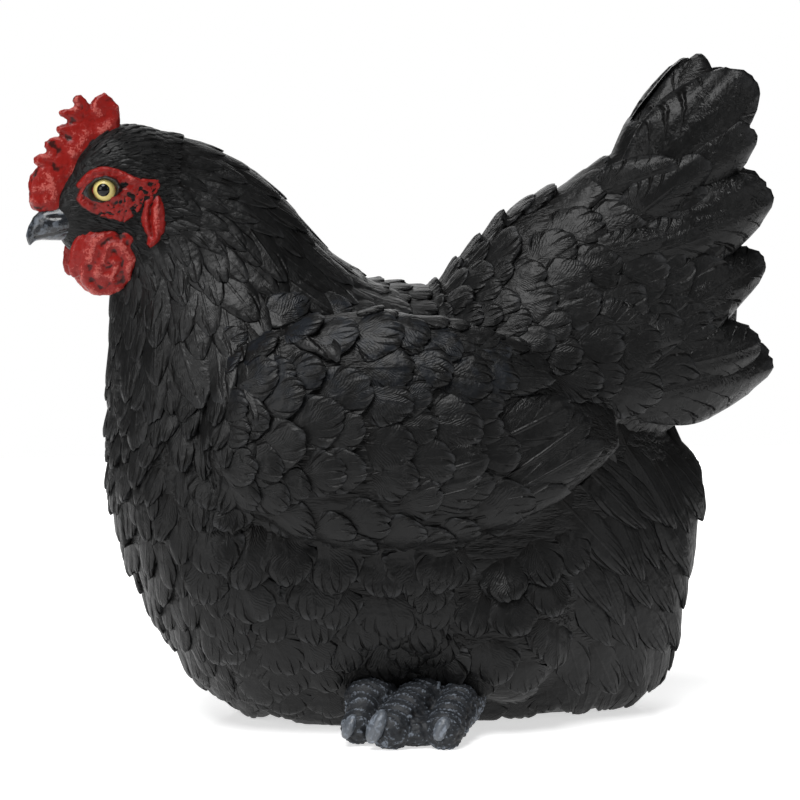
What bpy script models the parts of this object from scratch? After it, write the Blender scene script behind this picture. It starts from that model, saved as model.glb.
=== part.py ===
# Hen figurine: a sitting hen cast in one piece, with carved feathers, comb, wattles and toes.
# Metres, +Z up. The head looks towards -X, the tail rises towards +X, and the base is flat at Z = 0.

import math
import random

import bmesh
import bpy
from mathutils import Matrix, Vector
from mathutils.bvhtree import BVHTree

# Overall sizes
FIGURE_LENGTH = 0.375
FIGURE_HEIGHT = 0.333
FIGURE_WIDTH = 0.196

# The side view is drawn on a grid that these three sizes stretch to the overall sizes
GRID_LENGTH = 375.0
GRID_HEIGHT = 333.0
GRID_WIDTH = 200.0

# Head
HEAD_TURN = math.radians(9.0)
EYE_RADIUS = 0.0064
PUPIL_RADIUS = 0.0033
LID_THICKNESS = 0.0018
COMB_THICKNESS = 0.0075
COMB_EDGE_ROUNDING = 0.0020
COMB_FOOT_RADIUS = 0.0052
WATTLE_LENGTH = 0.032
WATTLE_WIDTH = 0.028
WATTLE_THICKNESS = 0.0100
EARLOBE_RISE = 0.0036
FACE_SKIN_RISE = 0.0012

# Feathers
FEATHER_BED = 0.0018
FEATHER_THICKNESS = 0.0050
QUILL_THICKNESS = 0.0042

# Casting
BASE_SINK = 0.0012
CORE_CELL = 0.0024
SKIN_CELL = 0.0012
SKIN_TRIANGLES = 11200
CUT_CLEARANCE = 0.00015

NAME = "hen"


def place(x, y, z):
    """A grid point of the side view (x forward to back, z up) with its depth y, in metres."""
    return Vector(
        (
            x * FIGURE_LENGTH / GRID_LENGTH,
            y * FIGURE_WIDTH / GRID_WIDTH,
            z * FIGURE_HEIGHT / GRID_HEIGHT,
        )
    )


def clear_scene():
    for item in list(bpy.data.objects):
        bpy.data.objects.remove(item, do_unlink=True)


def make_collection(name):
    made = bpy.data.collections.new(name)
    bpy.context.scene.collection.children.link(made)
    return made


def make_material(name, colour, roughness, metallic=0.0):
    made = bpy.data.materials.new(name)
    made.use_nodes = True
    shader = made.node_tree.nodes["Principled BSDF"]
    shader.inputs["Base Color"].default_value = (*colour, 1.0)
    shader.inputs["Roughness"].default_value = roughness
    shader.inputs["Metallic"].default_value = metallic
    made.diffuse_color = (*colour, 1.0)
    return made


def smooth_step(low, high, value):
    share = min(max((value - low) / (high - low), 0.0), 1.0)
    return share * share * (3.0 - 2.0 * share)


# Body core

# Each ring: top point (x, z), bottom point (x, z), half width, height share of its widest line
TRUNK_RINGS = (
    ((-143.5, 166), (-144.5, 110), 20, 0.50),
    ((-136, 188), (-135.5, 80), 43, 0.46),
    ((-119, 201), (-121, 49), 61, 0.44),
    ((-98, 208), (-103, 22), 73, 0.42),
    ((-73, 213), (-78, 6), 80, 0.42),
    ((-42, 216), (-44, -3), 83, 0.42),
    ((-8, 217.5), (-8, -3), 84, 0.42),
    ((28, 211), (26, -3), 81, 0.42),
    ((62, 203), (60, -2), 75, 0.42),
    ((92, 190), (91, 0), 66, 0.44),
    ((114, 172), (114, 4), 54, 0.46),
    ((132, 146), (130, 15), 41, 0.50),
    ((150, 128), (146, 94), 18, 0.55),
)
NECK_RINGS = (
    ((-117, 294.5), (-158, 238), 15, 0.50),
    ((-100, 289), (-152, 230), 20, 0.50),
    ((-79, 277), (-145, 219), 26, 0.50),
    ((-58, 257), (-144.5, 205), 36, 0.48),
    ((-41, 234.5), (-144.5, 188), 48, 0.46),
    ((-16, 216), (-145.5, 166), 60, 0.44),
    ((22, 204), (-143, 140), 70, 0.42),
    ((50, 172), (-128, 110), 60, 0.42),
)
TAIL_RINGS = (
    ((6, 204), (60, 110), 70, 0.40),
    ((33, 230.5), (104, 126), 62, 0.40),
    ((57.5, 253), (134, 144), 50, 0.38),
    ((84, 265), (158, 156), 39, 0.36),
    ((110, 279), (168, 172), 31, 0.36),
    ((126, 305), (170, 208), 24, 0.38),
    ((140, 323), (171, 256), 17, 0.42),
    ((152, 334), (166, 300), 9, 0.50),
)
BEAK_RINGS = (
    ((-160, 265), (-160, 240), 14, 0.50),
    ((-168, 261.5), (-168, 241), 11, 0.50),
    ((-176, 258.5), (-176, 241.5), 8.5, 0.48),
    ((-181, 257), (-181, 241.8), 7, 0.46),
    ((-185, 253.5), (-184.5, 241.4), 5.4, 0.42),
    ((-187.6, 249), (-186, 240.2), 4, 0.40),
    ((-189, 244), (-187, 238.6), 2.6, 0.40),
)
RING_SIDES = 28

# Each ellipsoid: centre (x, y, z) and half sizes on the grid; a depth other than 0 is made on both sides
HEAD_BALL = ((-137, 0, 268), (32, 22, 30))
FACE_BALL = ((-156, 0, 256), (20, 14, 24))
THIGH_BALL = ((40, -60, 58), (34, 24, 40))
SHOULDER_BALL = ((-78, -62, 150), (26, 18, 36))

# Wing slab stations along X: x, lowest z, highest z, depth of its middle, half thickness
WING_STATIONS = (
    (-102, 138, 172, -66, 5),
    (-86, 116, 190, -70, 14),
    (-56, 102, 205, -73, 18),
    (-20, 97, 209, -75, 19.5),
    (16, 101, 202, -74, 19),
    (46, 110, 190, -71, 16),
    (70, 122, 176, -67, 12),
    (88, 134, 164, -62, 8),
    (97, 142, 158, -58, 4),
)


def egg_ring(top, bottom, half_width, widest):
    """Points of an egg-shaped section between two side-view points."""
    ring = []
    middle_x = bottom[0] + widest * (top[0] - bottom[0])
    middle_z = bottom[1] + widest * (top[1] - bottom[1])
    for step in range(RING_SIDES):
        angle = 2.0 * math.pi * step / RING_SIDES
        rise = math.cos(angle)
        far_x, far_z = top if rise > 0 else bottom
        share = abs(rise)
        x = middle_x + (far_x - middle_x) * share
        z = middle_z + (far_z - middle_z) * share
        ring.append(place(x, half_width * math.sin(angle), z))
    return ring


def loft(rings):
    """A closed skin through rings of equally many points, with a pole at each end."""
    shape = bmesh.new()
    rows = [[shape.verts.new(point) for point in ring] for ring in rings]
    sides = len(rows[0])
    for row, after in zip(rows, rows[1:]):
        for step in range(sides):
            beside = (step + 1) % sides
            shape.faces.new((row[step], row[beside], after[beside], after[step]))
    for row in (rows[0], rows[-1]):
        middle = sum((vert.co for vert in row), Vector()) / sides
        pole = shape.verts.new(middle)
        for step in range(sides):
            shape.faces.new((row[step], row[(step + 1) % sides], pole))
    bmesh.ops.recalc_face_normals(shape, faces=shape.faces)
    return shape


def ball(centre, half_sizes, tilt=0.0):
    """An ellipsoid on the grid, tilted in the side view."""
    shape = bmesh.new()
    bmesh.ops.create_uvsphere(shape, u_segments=24, v_segments=16, radius=1.0)
    half = place(*half_sizes)
    matrix = Matrix.Translation(place(*centre)) @ Matrix.Rotation(tilt, 4, "Y") @ Matrix.Diagonal((*half, 1.0))
    shape.transform(matrix)
    return shape


def both_sides(centre, half_sizes):
    x, y, z = centre
    return [ball((x, y, z), half_sizes), ball((x, -y, z), half_sizes)]


def wing_slab(side):
    rings = []
    for x, low, high, depth, half in WING_STATIONS:
        ring = []
        for step in range(RING_SIDES):
            angle = 2.0 * math.pi * step / RING_SIDES
            z = (low + high) / 2 + (high - low) / 2 * math.cos(angle)
            y = (depth - half * math.sin(angle)) * side
            lean = 10.0 * math.cos(angle)
            ring.append(place(x, y + lean * side, z))
        rings.append(ring)
    return loft(rings)


def core_shapes():
    shapes = [loft([egg_ring(*ring) for ring in rings]) for rings in (TRUNK_RINGS, NECK_RINGS, TAIL_RINGS)]
    shapes += [ball(*HEAD_BALL), ball(*FACE_BALL)]
    shapes.extend(both_sides(*THIGH_BALL))
    shapes.extend(both_sides(*SHOULDER_BALL))
    shapes.extend(wing_slab(side) for side in (1, -1))
    return shapes


def join_shapes(shapes):
    """One mesh of several closed shapes."""
    joined = bmesh.new()
    for shape in shapes:
        mesh = bpy.data.meshes.new("piece")
        shape.to_mesh(mesh)
        shape.free()
        joined.from_mesh(mesh)
        bpy.data.meshes.remove(mesh)
    return joined


def evaluated_mesh(item):
    graph = bpy.context.evaluated_depsgraph_get()
    graph.update()
    return bpy.data.meshes.new_from_object(item.evaluated_get(graph))


def remeshed(shape, cell, smoothing, collection):
    """The outer skin of overlapping closed shapes, as one even mesh."""
    mesh = bpy.data.meshes.new("remesh_source")
    shape.to_mesh(mesh)
    shape.free()
    item = bpy.data.objects.new("remesh_source", mesh)
    collection.objects.link(item)
    remesh = item.modifiers.new("skin", "REMESH")
    remesh.mode = "VOXEL"
    remesh.voxel_size = cell
    if smoothing:
        smooth = item.modifiers.new("soften", "SMOOTH")
        smooth.factor = 0.5
        smooth.iterations = smoothing
    result = evaluated_mesh(item)
    bpy.data.objects.remove(item, do_unlink=True)
    bpy.data.meshes.remove(mesh)
    return result


# The head above and before these grid lines has no feather bed
HEAD_HEIGHTS = (200, 245)
HEAD_LENGTHS = (-70, -110)
CORE_SMOOTHING = 9


def build_core(guides):
    """The body's smooth form, pushed out by its feather bed except on the head."""
    mesh = remeshed(join_shapes(core_shapes()), CORE_CELL, CORE_SMOOTHING, guides)
    unit = place(1, 1, 1)
    moves = []
    for vert in mesh.vertices:
        on_head = smooth_step(*HEAD_HEIGHTS, vert.co.z / unit.z) * smooth_step(*HEAD_LENGTHS, vert.co.x / unit.x)
        moves.append(vert.normal * FEATHER_BED * (1 - on_head))
    for vert, move in zip(mesh.vertices, moves):
        vert.co += move
    mesh.update()
    return mesh


# Feather surfaces

# Outline of a feather: its half width, as a share, at shares of its length from the root
ROUND_OUTLINE = ((0.0, 0.56), (0.35, 0.86), (0.64, 1.0), (0.87, 0.80), (1.0, 0.32))
POINTED_OUTLINE = ((0.0, 0.62), (0.30, 1.0), (0.60, 0.92), (0.85, 0.52), (1.0, 0.10))
BLADE_OUTLINE = ((0.0, 0.62), (0.30, 0.92), (0.60, 1.0), (0.86, 0.82), (1.0, 0.34))
STRAND_OUTLINE = ((0.0, 0.80), (0.25, 1.0), (0.60, 0.86), (0.85, 0.50), (1.0, 0.10))
ACROSS = (-1.0, -0.55, 0.0, 0.55, 1.0)
ROOT_SHARE = 0.42
CARVING_SEED = 11
LOOK_AHEAD = 0.04
CARVING_TILT = math.radians(7.0)
CARVING_SPREAD = 0.09
SLIP_SHARE = 0.12

# A feather's height, as a share of its lift, from its sunk root to its raised tip and across its crown
ROOT_HEIGHT_SHARE = -0.30
TIP_HEIGHT_SHARE = 0.95
HEIGHT_POWER = 1.15
CROWN_DROP = 0.42
CROWN_AT_ROOT = 0.35


class Core:
    """The body core with the ray and nearest-point look-ups that seat everything on it."""

    def __init__(self, mesh):
        self.tree = BVHTree.FromPolygons(
            [vert.co for vert in mesh.vertices], [face.vertices[:] for face in mesh.polygons]
        )

    def seen_along(self, point, direction):
        """First skin point seen from outside when looking along a direction through a point."""
        start = point - direction.normalized() * FIGURE_LENGTH * 2
        hit, normal, _, _ = self.tree.ray_cast(start, direction)
        if hit is None:
            hit, normal, _, _ = self.tree.find_nearest(point)
        return hit, normal

    def nearest(self, point):
        hit, normal, _, _ = self.tree.find_nearest(point)
        return hit, normal


def from_side(core, x, z):
    """Skin point seen from the left side at a side-view point."""
    return core.seen_along(place(x, 0, z), Vector((0, 1, 0)))


def around_axis(core, axis_x, turn, z):
    """Skin point at a height, seen from outside towards an upright axis; turn 0 is towards -X."""
    inward = Vector((math.cos(turn), math.sin(turn), 0))
    return core.seen_along(place(axis_x, 0, z), inward)


def over_axis(core, x, roll, axis_z):
    """Skin point at a length station, seen from outside towards a lengthwise axis; roll 0 is from above."""
    inward = Vector((0, math.sin(roll), -math.cos(roll)))
    return core.seen_along(place(x, 0, axis_z), inward)


def neck_point(core, along, roll):
    """Skin point on the neck: along runs from the head to the shoulders, roll from the nape to the throat."""
    last = len(NECK_RINGS) - 3
    position = min(max(along, 0.0), 1.0) * last
    index = min(int(position), last - 1)
    share = position - index
    near, far = NECK_RINGS[index], NECK_RINGS[index + 1]
    top = [a + (b - a) * share for a, b in zip(near[0], far[0])]
    bottom = [a + (b - a) * share for a, b in zip(near[1], far[1])]
    middle = place((top[0] + bottom[0]) / 2, 0, (top[1] + bottom[1]) / 2)
    nape = (place(top[0], 0, top[1]) - middle).normalized()
    outward = nape * math.cos(roll) + Vector((0, -math.sin(roll), 0))
    return core.seen_along(middle, -outward)


def blend(first, last, share):
    return first + (last - first) * share


def net_point(net, across, along):
    """A side-view point of a net of control rows, read smoothly along and across."""
    return smooth_run([smooth_run(row, across) for row in net], along)


def smooth_run(row, share):
    """A point on the smooth run through a row of points, from 0 at its start to 1 at its end."""
    position = min(max(share, 0.0), 1.0) * (len(row) - 1)
    index = min(int(position), len(row) - 2)
    before, after = row[max(index - 1, 0)], row[min(index + 2, len(row) - 1)]
    near, far = row[index], row[index + 1]
    t = position - index
    t2, t3 = t * t, t * t * t
    spot = []
    for a, b, low, high in zip(near, far, before, after):
        leaving, arriving = (b - low) / 2, (high - a) / 2
        spot.append((2 * t3 - 3 * t2 + 1) * a + (3 * t2 - 2 * t3) * b + (t3 - 2 * t2 + t) * leaving + (t3 - t2) * arriving)
    return spot


def grow_rows(core, region):
    """Feathers in staggered rows over a region, each lying along its rows' run."""
    feathers = []
    hand = random.Random(CARVING_SEED)
    rows = region["rows"]
    for row in range(rows):
        along = (row + 0.5) / rows
        places = round(blend(*region["columns"], along))
        offset = 0.5 if row % 2 else 0.0
        for column in range(places + (0 if row % 2 else 1)):
            middle = region.get("centred", False) and column == 0 and not row % 2
            slip = 0.0 if middle else hand.uniform(-SLIP_SHARE, SLIP_SHARE)
            across = (column + offset + slip) / places
            spot = along + hand.uniform(-SLIP_SHARE, SLIP_SHARE) / rows
            point, normal = locate(core, region["at"], across, spot)
            ahead, _ = locate(core, region["at"], across, spot + LOOK_AHEAD)
            way = ahead - point
            way -= normal * way.dot(normal)
            if way.length < 1e-6:
                continue
            sweep = math.radians(region.get("sweep", 0.0))
            tilt = 0.0 if middle else sweep + hand.uniform(-CARVING_TILT, CARVING_TILT)
            way = Matrix.Rotation(tilt, 3, normal) @ way.normalized()
            spread = hand.uniform(1.0 - CARVING_SPREAD, 1.0 + CARVING_SPREAD)
            length, width, lift = millimetres(*(blend(*region[key], along) * spread for key in ("length", "width", "lift")))
            feathers.append((point, normal, way, length, width, lift, region["outline"], middle))
    return feathers


def feather_on_skin(shape, core, feather, mirror):
    """A feather moulded on the body: it rises from its sunk root to its lifted tip."""
    point, normal, way, length, width, lift, outline, _ = feather
    side = normal.cross(way).normalized()
    rows = []
    for share, wide in outline:
        row = []
        for across in ACROSS:
            target = point + way * (share - ROOT_SHARE) * length + side * across * wide * width / 2
            skin, skin_normal = core.nearest(target)
            crown = CROWN_DROP * across * across * blend(CROWN_AT_ROOT, 1.0, share)
            rise = ROOT_HEIGHT_SHARE + (TIP_HEIGHT_SHARE - ROOT_HEIGHT_SHARE) * share**HEIGHT_POWER - crown
            position = skin + skin_normal * lift * rise
            if mirror:
                position.y = -position.y
            row.append(shape.verts.new(position))
        rows.append(row)
    add_grid(shape, rows, mirror)


def add_grid(shape, rows, flip):
    for row, after in zip(rows, rows[1:]):
        for step in range(len(row) - 1):
            corners = [row[step], row[step + 1], after[step + 1], after[step]]
            shape.faces.new(corners[::-1] if flip else corners)


def free_feather(shape, root, tip, width, bow, outline, mirror):
    """A stiff quill feather that stands clear of the body, bowed outwards along its length."""
    axis = tip - root
    length = axis.length
    axis.normalize()
    outward = Vector((0, -1, 0))
    outward = (outward - axis * outward.dot(axis)).normalized()
    side = outward.cross(axis).normalized()
    rows = []
    for share, wide in outline:
        row = []
        for across in ACROSS:
            bulge = bow * math.sin(math.pi * share) - width * QUILL_HOLLOW * across * across
            position = root + axis * share * length + side * across * wide * width / 2 + outward * bulge
            if mirror:
                position.y = -position.y
            row.append(shape.verts.new(position))
        rows.append(row)
    add_grid(shape, rows, mirror)


# Plumage regions, all on the left side; nets are side-view points (x, z), row by row from the roots
NETS = {
    "wing": (
        ((-99, 192), (-103, 172), (-102, 155), (-94, 137)),
        ((-82, 200), (-84, 171), (-82, 148), (-73, 121)),
        ((-62, 211), (-59, 174), (-58, 142), (-50, 106)),
        ((-31, 210), (-30, 176), (-29, 142), (-21, 101)),
        ((1, 202), (1, 170), (1, 139), (6, 103)),
        ((30, 191), (28, 165), (28, 141), (35, 110)),
    ),
    "flank": (
        ((-101, 135), (-77, 115), (-46, 103), (-12, 97), (12, 99)),
        ((-106, 102), (-80, 84), (-49, 74), (-20, 71), (0, 75)),
        ((-102, 68), (-75, 52), (-46, 47), (-22, 46), (-7, 51)),
        ((-87, 38), (-66, 28), (-44, 25), (-26, 24), (-15, 26)),
        ((-76, 14), (-60, 8), (-44, 6), (-26, 6), (-12, 7)),
    ),
    "thigh": (
        ((7, 97), (36, 97), (65, 103)),
        ((2, 71), (36, 70), (73, 74)),
        ((-1, 46), (31, 41), (66, 40)),
        ((7, 24), (36, 20), (66, 18)),
        ((7, 6), (36, 5), (66, 5)),
    ),
    "covert": (
        ((7, 220), (12, 208), (17, 195), (27, 185)),
        ((30, 239), (42, 217), (52, 197), (62, 178)),
        ((52, 259), (74, 229), (87, 202), (92, 170)),
        ((77, 271), (102, 239), (117, 207), (123, 167)),
        ((98, 281), (124, 251), (142, 216), (143, 169)),
    ),
}
BREAST_AXIS_X, BREAST_HEIGHTS, BREAST_SWING = -72.0, (180, 6), 78.0
REAR_AXIS_X, REAR_HEIGHTS, REAR_SWING = 62.0, (138, 6), 78.0
BACK_AXIS_Z, BACK_LENGTHS, BACK_SWING = 150.0, (-50, 46), 72.0
NECK_STARTS, NECK_START_TURNS, NECK_END, NECK_SWING = (0.12, 0.34), (0.25, 0.60), 0.98, 176.0


def locate(core, kind, across, along):
    """Skin point of a region: across runs down from its upper edge, along from its first row."""
    if kind == "breast":
        return around_axis(core, BREAST_AXIS_X, math.radians(across * BREAST_SWING), blend(*BREAST_HEIGHTS, along))
    if kind == "rear":
        return around_axis(core, REAR_AXIS_X, math.radians(180 - across * REAR_SWING), blend(*REAR_HEIGHTS, along))
    if kind == "back":
        return over_axis(core, blend(*BACK_LENGTHS, along), math.radians(across * BACK_SWING), BACK_AXIS_Z)
    if kind == "neck":
        start = blend(*NECK_STARTS, smooth_step(*NECK_START_TURNS, across))
        return neck_point(core, blend(start, NECK_END, along), math.radians(across * NECK_SWING))
    return from_side(core, *net_point(NETS[kind], across, along))


# Feathers of each region: lengths, widths and lifts are in millimetres, for the first and the last row
REGIONS = (
    {
        "at": "rear", "rows": 5, "columns": (5, 5), "length": (56, 48), "width": (22, 22), "lift": (4.6, 4.4),
        "sweep": -16, "outline": STRAND_OUTLINE, "centred": True,
    },
    {
        "at": "flank", "rows": 6, "columns": (5, 4), "length": (34, 30), "width": (29, 27), "lift": (5.6, 5.0),
        "sweep": 14, "outline": ROUND_OUTLINE,
    },
    {
        "at": "thigh", "rows": 5, "columns": (3, 3), "length": (29, 26), "width": (26, 24), "lift": (5.0, 4.4),
        "sweep": 10, "outline": ROUND_OUTLINE,
    },
    {
        "at": "breast", "rows": 9, "columns": (7, 6), "length": (31, 31), "width": (17, 19), "lift": (4.4, 5.0),
        "outline": POINTED_OUTLINE, "centred": True,
    },
    {
        "at": "covert", "rows": 8, "columns": (5, 5), "length": (23, 40), "width": (18, 32), "lift": (4.2, 5.6),
        "outline": ROUND_OUTLINE,
    },
    {
        "at": "back", "rows": 6, "columns": (6, 6), "length": (25, 26), "width": (17, 18), "lift": (4.0, 4.2),
        "outline": ROUND_OUTLINE, "centred": True,
    },
    {
        "at": "wing", "rows": 8, "columns": (4, 6), "length": (29, 33), "width": (22, 25), "lift": (5.2, 5.4),
        "sweep": 10, "outline": ROUND_OUTLINE,
    },
    {
        "at": "neck", "rows": 5, "columns": (6, 9), "length": (34, 54), "width": (10, 18), "lift": (2.2, 4.2),
        "outline": STRAND_OUTLINE, "centred": True,
    },
)


def millimetres(*values):
    return [value * FIGURE_LENGTH / GRID_LENGTH for value in values]


# Flight feathers, moulded on the wing: root and tip (x, z) in the side view, width; each lies over the one before
FLIGHT_FEATHERS = (
    ((2, 106), (71, 123), 22),
    ((14, 110), (90, 147), 22),
    ((21, 121), (84, 158), 22),
    ((-15, 118), (32, 129), 22),
    ((14, 141), (74, 163), 27),
    ((-13, 130), (28, 140), 25),
    ((0, 179), (64, 174), 18),
)
FLIGHT_LIFT = 4.4
FLIGHT_STEP = 0.5

# Tail quills, left side: root (x, z), tip (x, depth, z), width; each lies over the one before
TAIL_QUILLS = (
    ((126, 250), (185, -4, 266), 44),
    ((108, 164), (188, -14, 179), 44),
    ((114, 260), (175, -16, 322), 49),
    ((124, 200), (182, -16, 231), 36),
    ((126, 178), (179, -24, 189), 36),
    ((122, 236), (184, -22, 265), 43),
    ((118, 258), (175, -22, 295), 36),
    ((108, 156), (150, -32, 182), 28),
    ((112, 232), (158, -30, 247), 30),
    ((104, 246), (150, -30, 280), 28),
    ((104, 190), (142, -38, 197), 28),
    ((90, 262), (134, -32, 277), 23),
    ((86, 232), (128, -36, 242), 20),
    ((84, 200), (122, -44, 202), 25),
)
QUILL_BOW = 3.0
QUILL_HOLLOW = 0.10


def flight_feathers(core):
    """The long blades of the folded wing, as feathers that lie on its skin."""
    feathers = []
    for index, (root, tip, width) in enumerate(FLIGHT_FEATHERS):
        start, _ = from_side(core, *root)
        end, _ = from_side(core, *tip)
        seat = [blend(first, last, ROOT_SHARE) for first, last in zip(root, tip)]
        point, normal = from_side(core, *seat)
        way = end - start
        length = way.length
        way -= normal * way.dot(normal)
        span, lift = millimetres(width, FLIGHT_LIFT + index * FLIGHT_STEP)
        feathers.append((point, normal, way.normalized(), length, span, lift, BLADE_OUTLINE, False))
    return feathers


def all_feathers(core):
    feathers = flight_feathers(core)
    for region in REGIONS:
        feathers += grow_rows(core, region)
    return feathers


def build_quills(shape, core, mirror):
    for root, tip, width in TAIL_QUILLS:
        span, bow = millimetres(width, QUILL_BOW)
        start, normal = from_side(core, *root)
        start -= normal * FEATHER_THICKNESS / 2
        free_feather(shape, start, place(*tip), span, bow, ROUND_OUTLINE, mirror)


def feather_shell(core, collection):
    """Every feather as one open surface, given its thickness towards the body."""
    sheet = bmesh.new()
    for feather in all_feathers(core):
        feather_on_skin(sheet, core, feather, False)
        if not feather[-1]:
            feather_on_skin(sheet, core, feather, True)
    skin = thickened(sheet, FEATHER_THICKNESS, collection)
    quills = bmesh.new()
    for mirror in (False, True):
        build_quills(quills, core, mirror)
    return skin, thickened(quills, QUILL_THICKNESS, collection)


def thickened(sheet, thickness, collection):
    mesh = bpy.data.meshes.new("feather_sheet")
    sheet.to_mesh(mesh)
    sheet.free()
    item = bpy.data.objects.new("feather_sheet", mesh)
    collection.objects.link(item)
    shell = item.modifiers.new("thickness", "SOLIDIFY")
    shell.thickness = thickness
    shell.offset = -1.0
    made = bmesh.new()
    result = evaluated_mesh(item)
    made.from_mesh(result)
    bpy.data.meshes.remove(result)
    bpy.data.objects.remove(item, do_unlink=True)
    bpy.data.meshes.remove(mesh)
    return made


# Head and feet

COMB_OUTLINE = (
    (-182, 257), (-185, 257), (-187, 262), (-188, 268), (-187, 273), (-184.5, 277), (-183, 278.5), (-184.6, 281.4),
    (-183, 283), (-180, 284), (-179, 286), (-179.6, 288.6), (-178.6, 290.8), (-174, 291), (-171.6, 293), (-173, 296),
    (-171.6, 298), (-168.6, 299.5), (-172, 303.6), (-170.5, 305.2), (-167, 305.6), (-165, 308), (-165.5, 310.4),
    (-162, 312.8), (-158, 310.4), (-156.6, 309.4), (-155, 311.6), (-150, 313.8), (-145, 311.2), (-142.5, 307),
    (-142.5, 301), (-143.5, 295), (-146, 286), (-156, 278), (-165, 270), (-170, 260), (-174, 254),
)
COMB_FOOT = ((-177, 259), (-172, 273), (-160, 285), (-148, 290))
EYE_PLACE = (-153.6, 266.8)
EYE_SUNK_SHARE = 0.15
PUPIL_STAND_SHARE = 0.74
PUPIL_FLATNESS = 0.9
LID_SIDES = 16
LID_OVERLAP = 0.6
LID_STRETCH = 1.15
FACE_OUTLINE = (
    (-167, 262), (-166.7, 268.7), (-164.2, 272.5), (-160.3, 276.4), (-154.3, 278.7), (-148.4, 277.7), (-143, 275.7),
    (-139.6, 273.5), (-131.7, 272.3), (-127, 272.2), (-125.4, 268), (-133.2, 262), (-136.0, 256), (-139.8, 252.5),
    (-143.2, 249.6), (-147.7, 251.1), (-154.1, 252.6), (-159.5, 255.1), (-164.4, 258.1),
)
EARLOBE_OUTLINE = (
    (-135.2, 261.6), (-131.7, 265), (-127.7, 266.4), (-125, 262), (-123.8, 257.6), (-123.8, 251), (-124.3, 245.9),
    (-126.2, 242), (-129, 238.6), (-131.4, 237.2), (-133.6, 239.7), (-133.2, 244.1), (-135.8, 248), (-136.8, 253),
)

# Wattle: centre, and the lumps that carry it, as centre, half sizes in grid steps and tilt
WATTLE_PLACE = (-150.6, -13, 230.5)
WATTLE_TURN = Vector((-0.25, -1, 0))
WATTLE_TILT = math.radians(10)
WATTLE_STEMS = (((-158, -9, 240), (4.5, 4.5, 10.5), -12), ((-143.5, -12, 238), (5, 5, 8.5), 16))

# Feet: the lumps of the toes and the claws over them, left side, as centre and half sizes
TOE_LUMPS = (
    ((-31, -74, 13), (7.5, 15, 13)),
    ((-19, -83, 12), (12, 20, 13.5)),
    ((-6, -78, 11), (13, 17, 12)),
    ((10, -86, 12), (11, 19, 14)),
    ((-6, -62, 22), (27, 16, 13)),
    ((2, -76, 8), (16, 14, 9)),
)
CLAW_LUMPS = (
    ((-26.5, -97, 13), (4.6, 5.5, 8.8)),
    ((5, -101, 13.5), (4.2, 4.6, 7.2)),
    ((-35.5, -84, 12), (3.2, 6, 7.2)),
)
CLAW_TILT = math.radians(24)


def curve_mesh(curve, collection):
    """A curve object made into a welded mesh shape."""
    item = bpy.data.objects.new(curve.name, curve)
    collection.objects.link(item)
    mesh = evaluated_mesh(item)
    shape = bmesh.new()
    shape.from_mesh(mesh)
    bmesh.ops.remove_doubles(shape, verts=shape.verts, dist=0.00001)
    bpy.data.objects.remove(item, do_unlink=True)
    bpy.data.meshes.remove(mesh)
    bpy.data.curves.remove(curve)
    return shape


def comb_shape(collection):
    """Single serrated comb: a flat outline given its thickness and a rounded rim."""
    curve = bpy.data.curves.new("comb_outline", "CURVE")
    curve.dimensions = "2D"
    curve.fill_mode = "BOTH"
    curve.extrude = COMB_THICKNESS / 2 - COMB_EDGE_ROUNDING
    curve.bevel_depth = COMB_EDGE_ROUNDING
    curve.offset = -COMB_EDGE_ROUNDING
    curve.bevel_resolution = 1
    spline = curve.splines.new("POLY")
    spline.points.add(len(COMB_OUTLINE) - 1)
    for point, (x, z) in zip(spline.points, COMB_OUTLINE):
        position = place(x, 0, z)
        point.co = (position.x, position.z, 0, 1)
    spline.use_cyclic_u = True
    shape = curve_mesh(curve, collection)
    shape.transform(Matrix.Rotation(math.radians(90), 4, "X"))
    bmesh.ops.recalc_face_normals(shape, faces=shape.faces)
    return shape


def comb_foot(collection):
    """The thicker root of the comb, along the line where it meets the head."""
    curve = bpy.data.curves.new("comb_foot", "CURVE")
    curve.dimensions = "3D"
    curve.bevel_depth = COMB_FOOT_RADIUS
    curve.bevel_resolution = 3
    curve.use_fill_caps = True
    spline = curve.splines.new("POLY")
    spline.points.add(len(COMB_FOOT) - 1)
    for point, (x, z) in zip(spline.points, COMB_FOOT):
        point.co = (*place(x, 0, z), 1)
    return curve_mesh(curve, collection)


def pebble(centre, half_sizes, outward=None, tilt=0.0):
    """A rounded lump with half sizes along X, Y and Z in metres, its Y turned to face outward."""
    shape = bmesh.new()
    bmesh.ops.create_uvsphere(shape, u_segments=20, v_segments=12, radius=1.0)
    turn = Matrix.Identity(4)
    if outward is not None:
        flat = Vector((outward.x, outward.y, 0)).normalized()
        turn = Matrix.Rotation(math.atan2(flat.x, -flat.y), 4, "Z")
    matrix = Matrix.Translation(centre) @ turn @ Matrix.Rotation(tilt, 4, "Y") @ Matrix.Diagonal((*half_sizes, 1.0))
    shape.transform(matrix)
    return shape


def mirrored(shape):
    other = shape.copy()
    other.transform(Matrix.Diagonal((1, -1, 1, 1)))
    bmesh.ops.reverse_faces(other, faces=other.faces)
    return other


def eye_shapes(core):
    skin, normal = from_side(core, *EYE_PLACE)
    centre = skin - normal * EYE_RADIUS * EYE_SUNK_SHARE
    iris = pebble(centre, (EYE_RADIUS,) * 3)
    pupil_half = (PUPIL_RADIUS, PUPIL_RADIUS * PUPIL_FLATNESS, PUPIL_RADIUS)
    pupil = pebble(centre + normal * EYE_RADIUS * PUPIL_STAND_SHARE, pupil_half, normal)
    return iris, pupil


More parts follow.
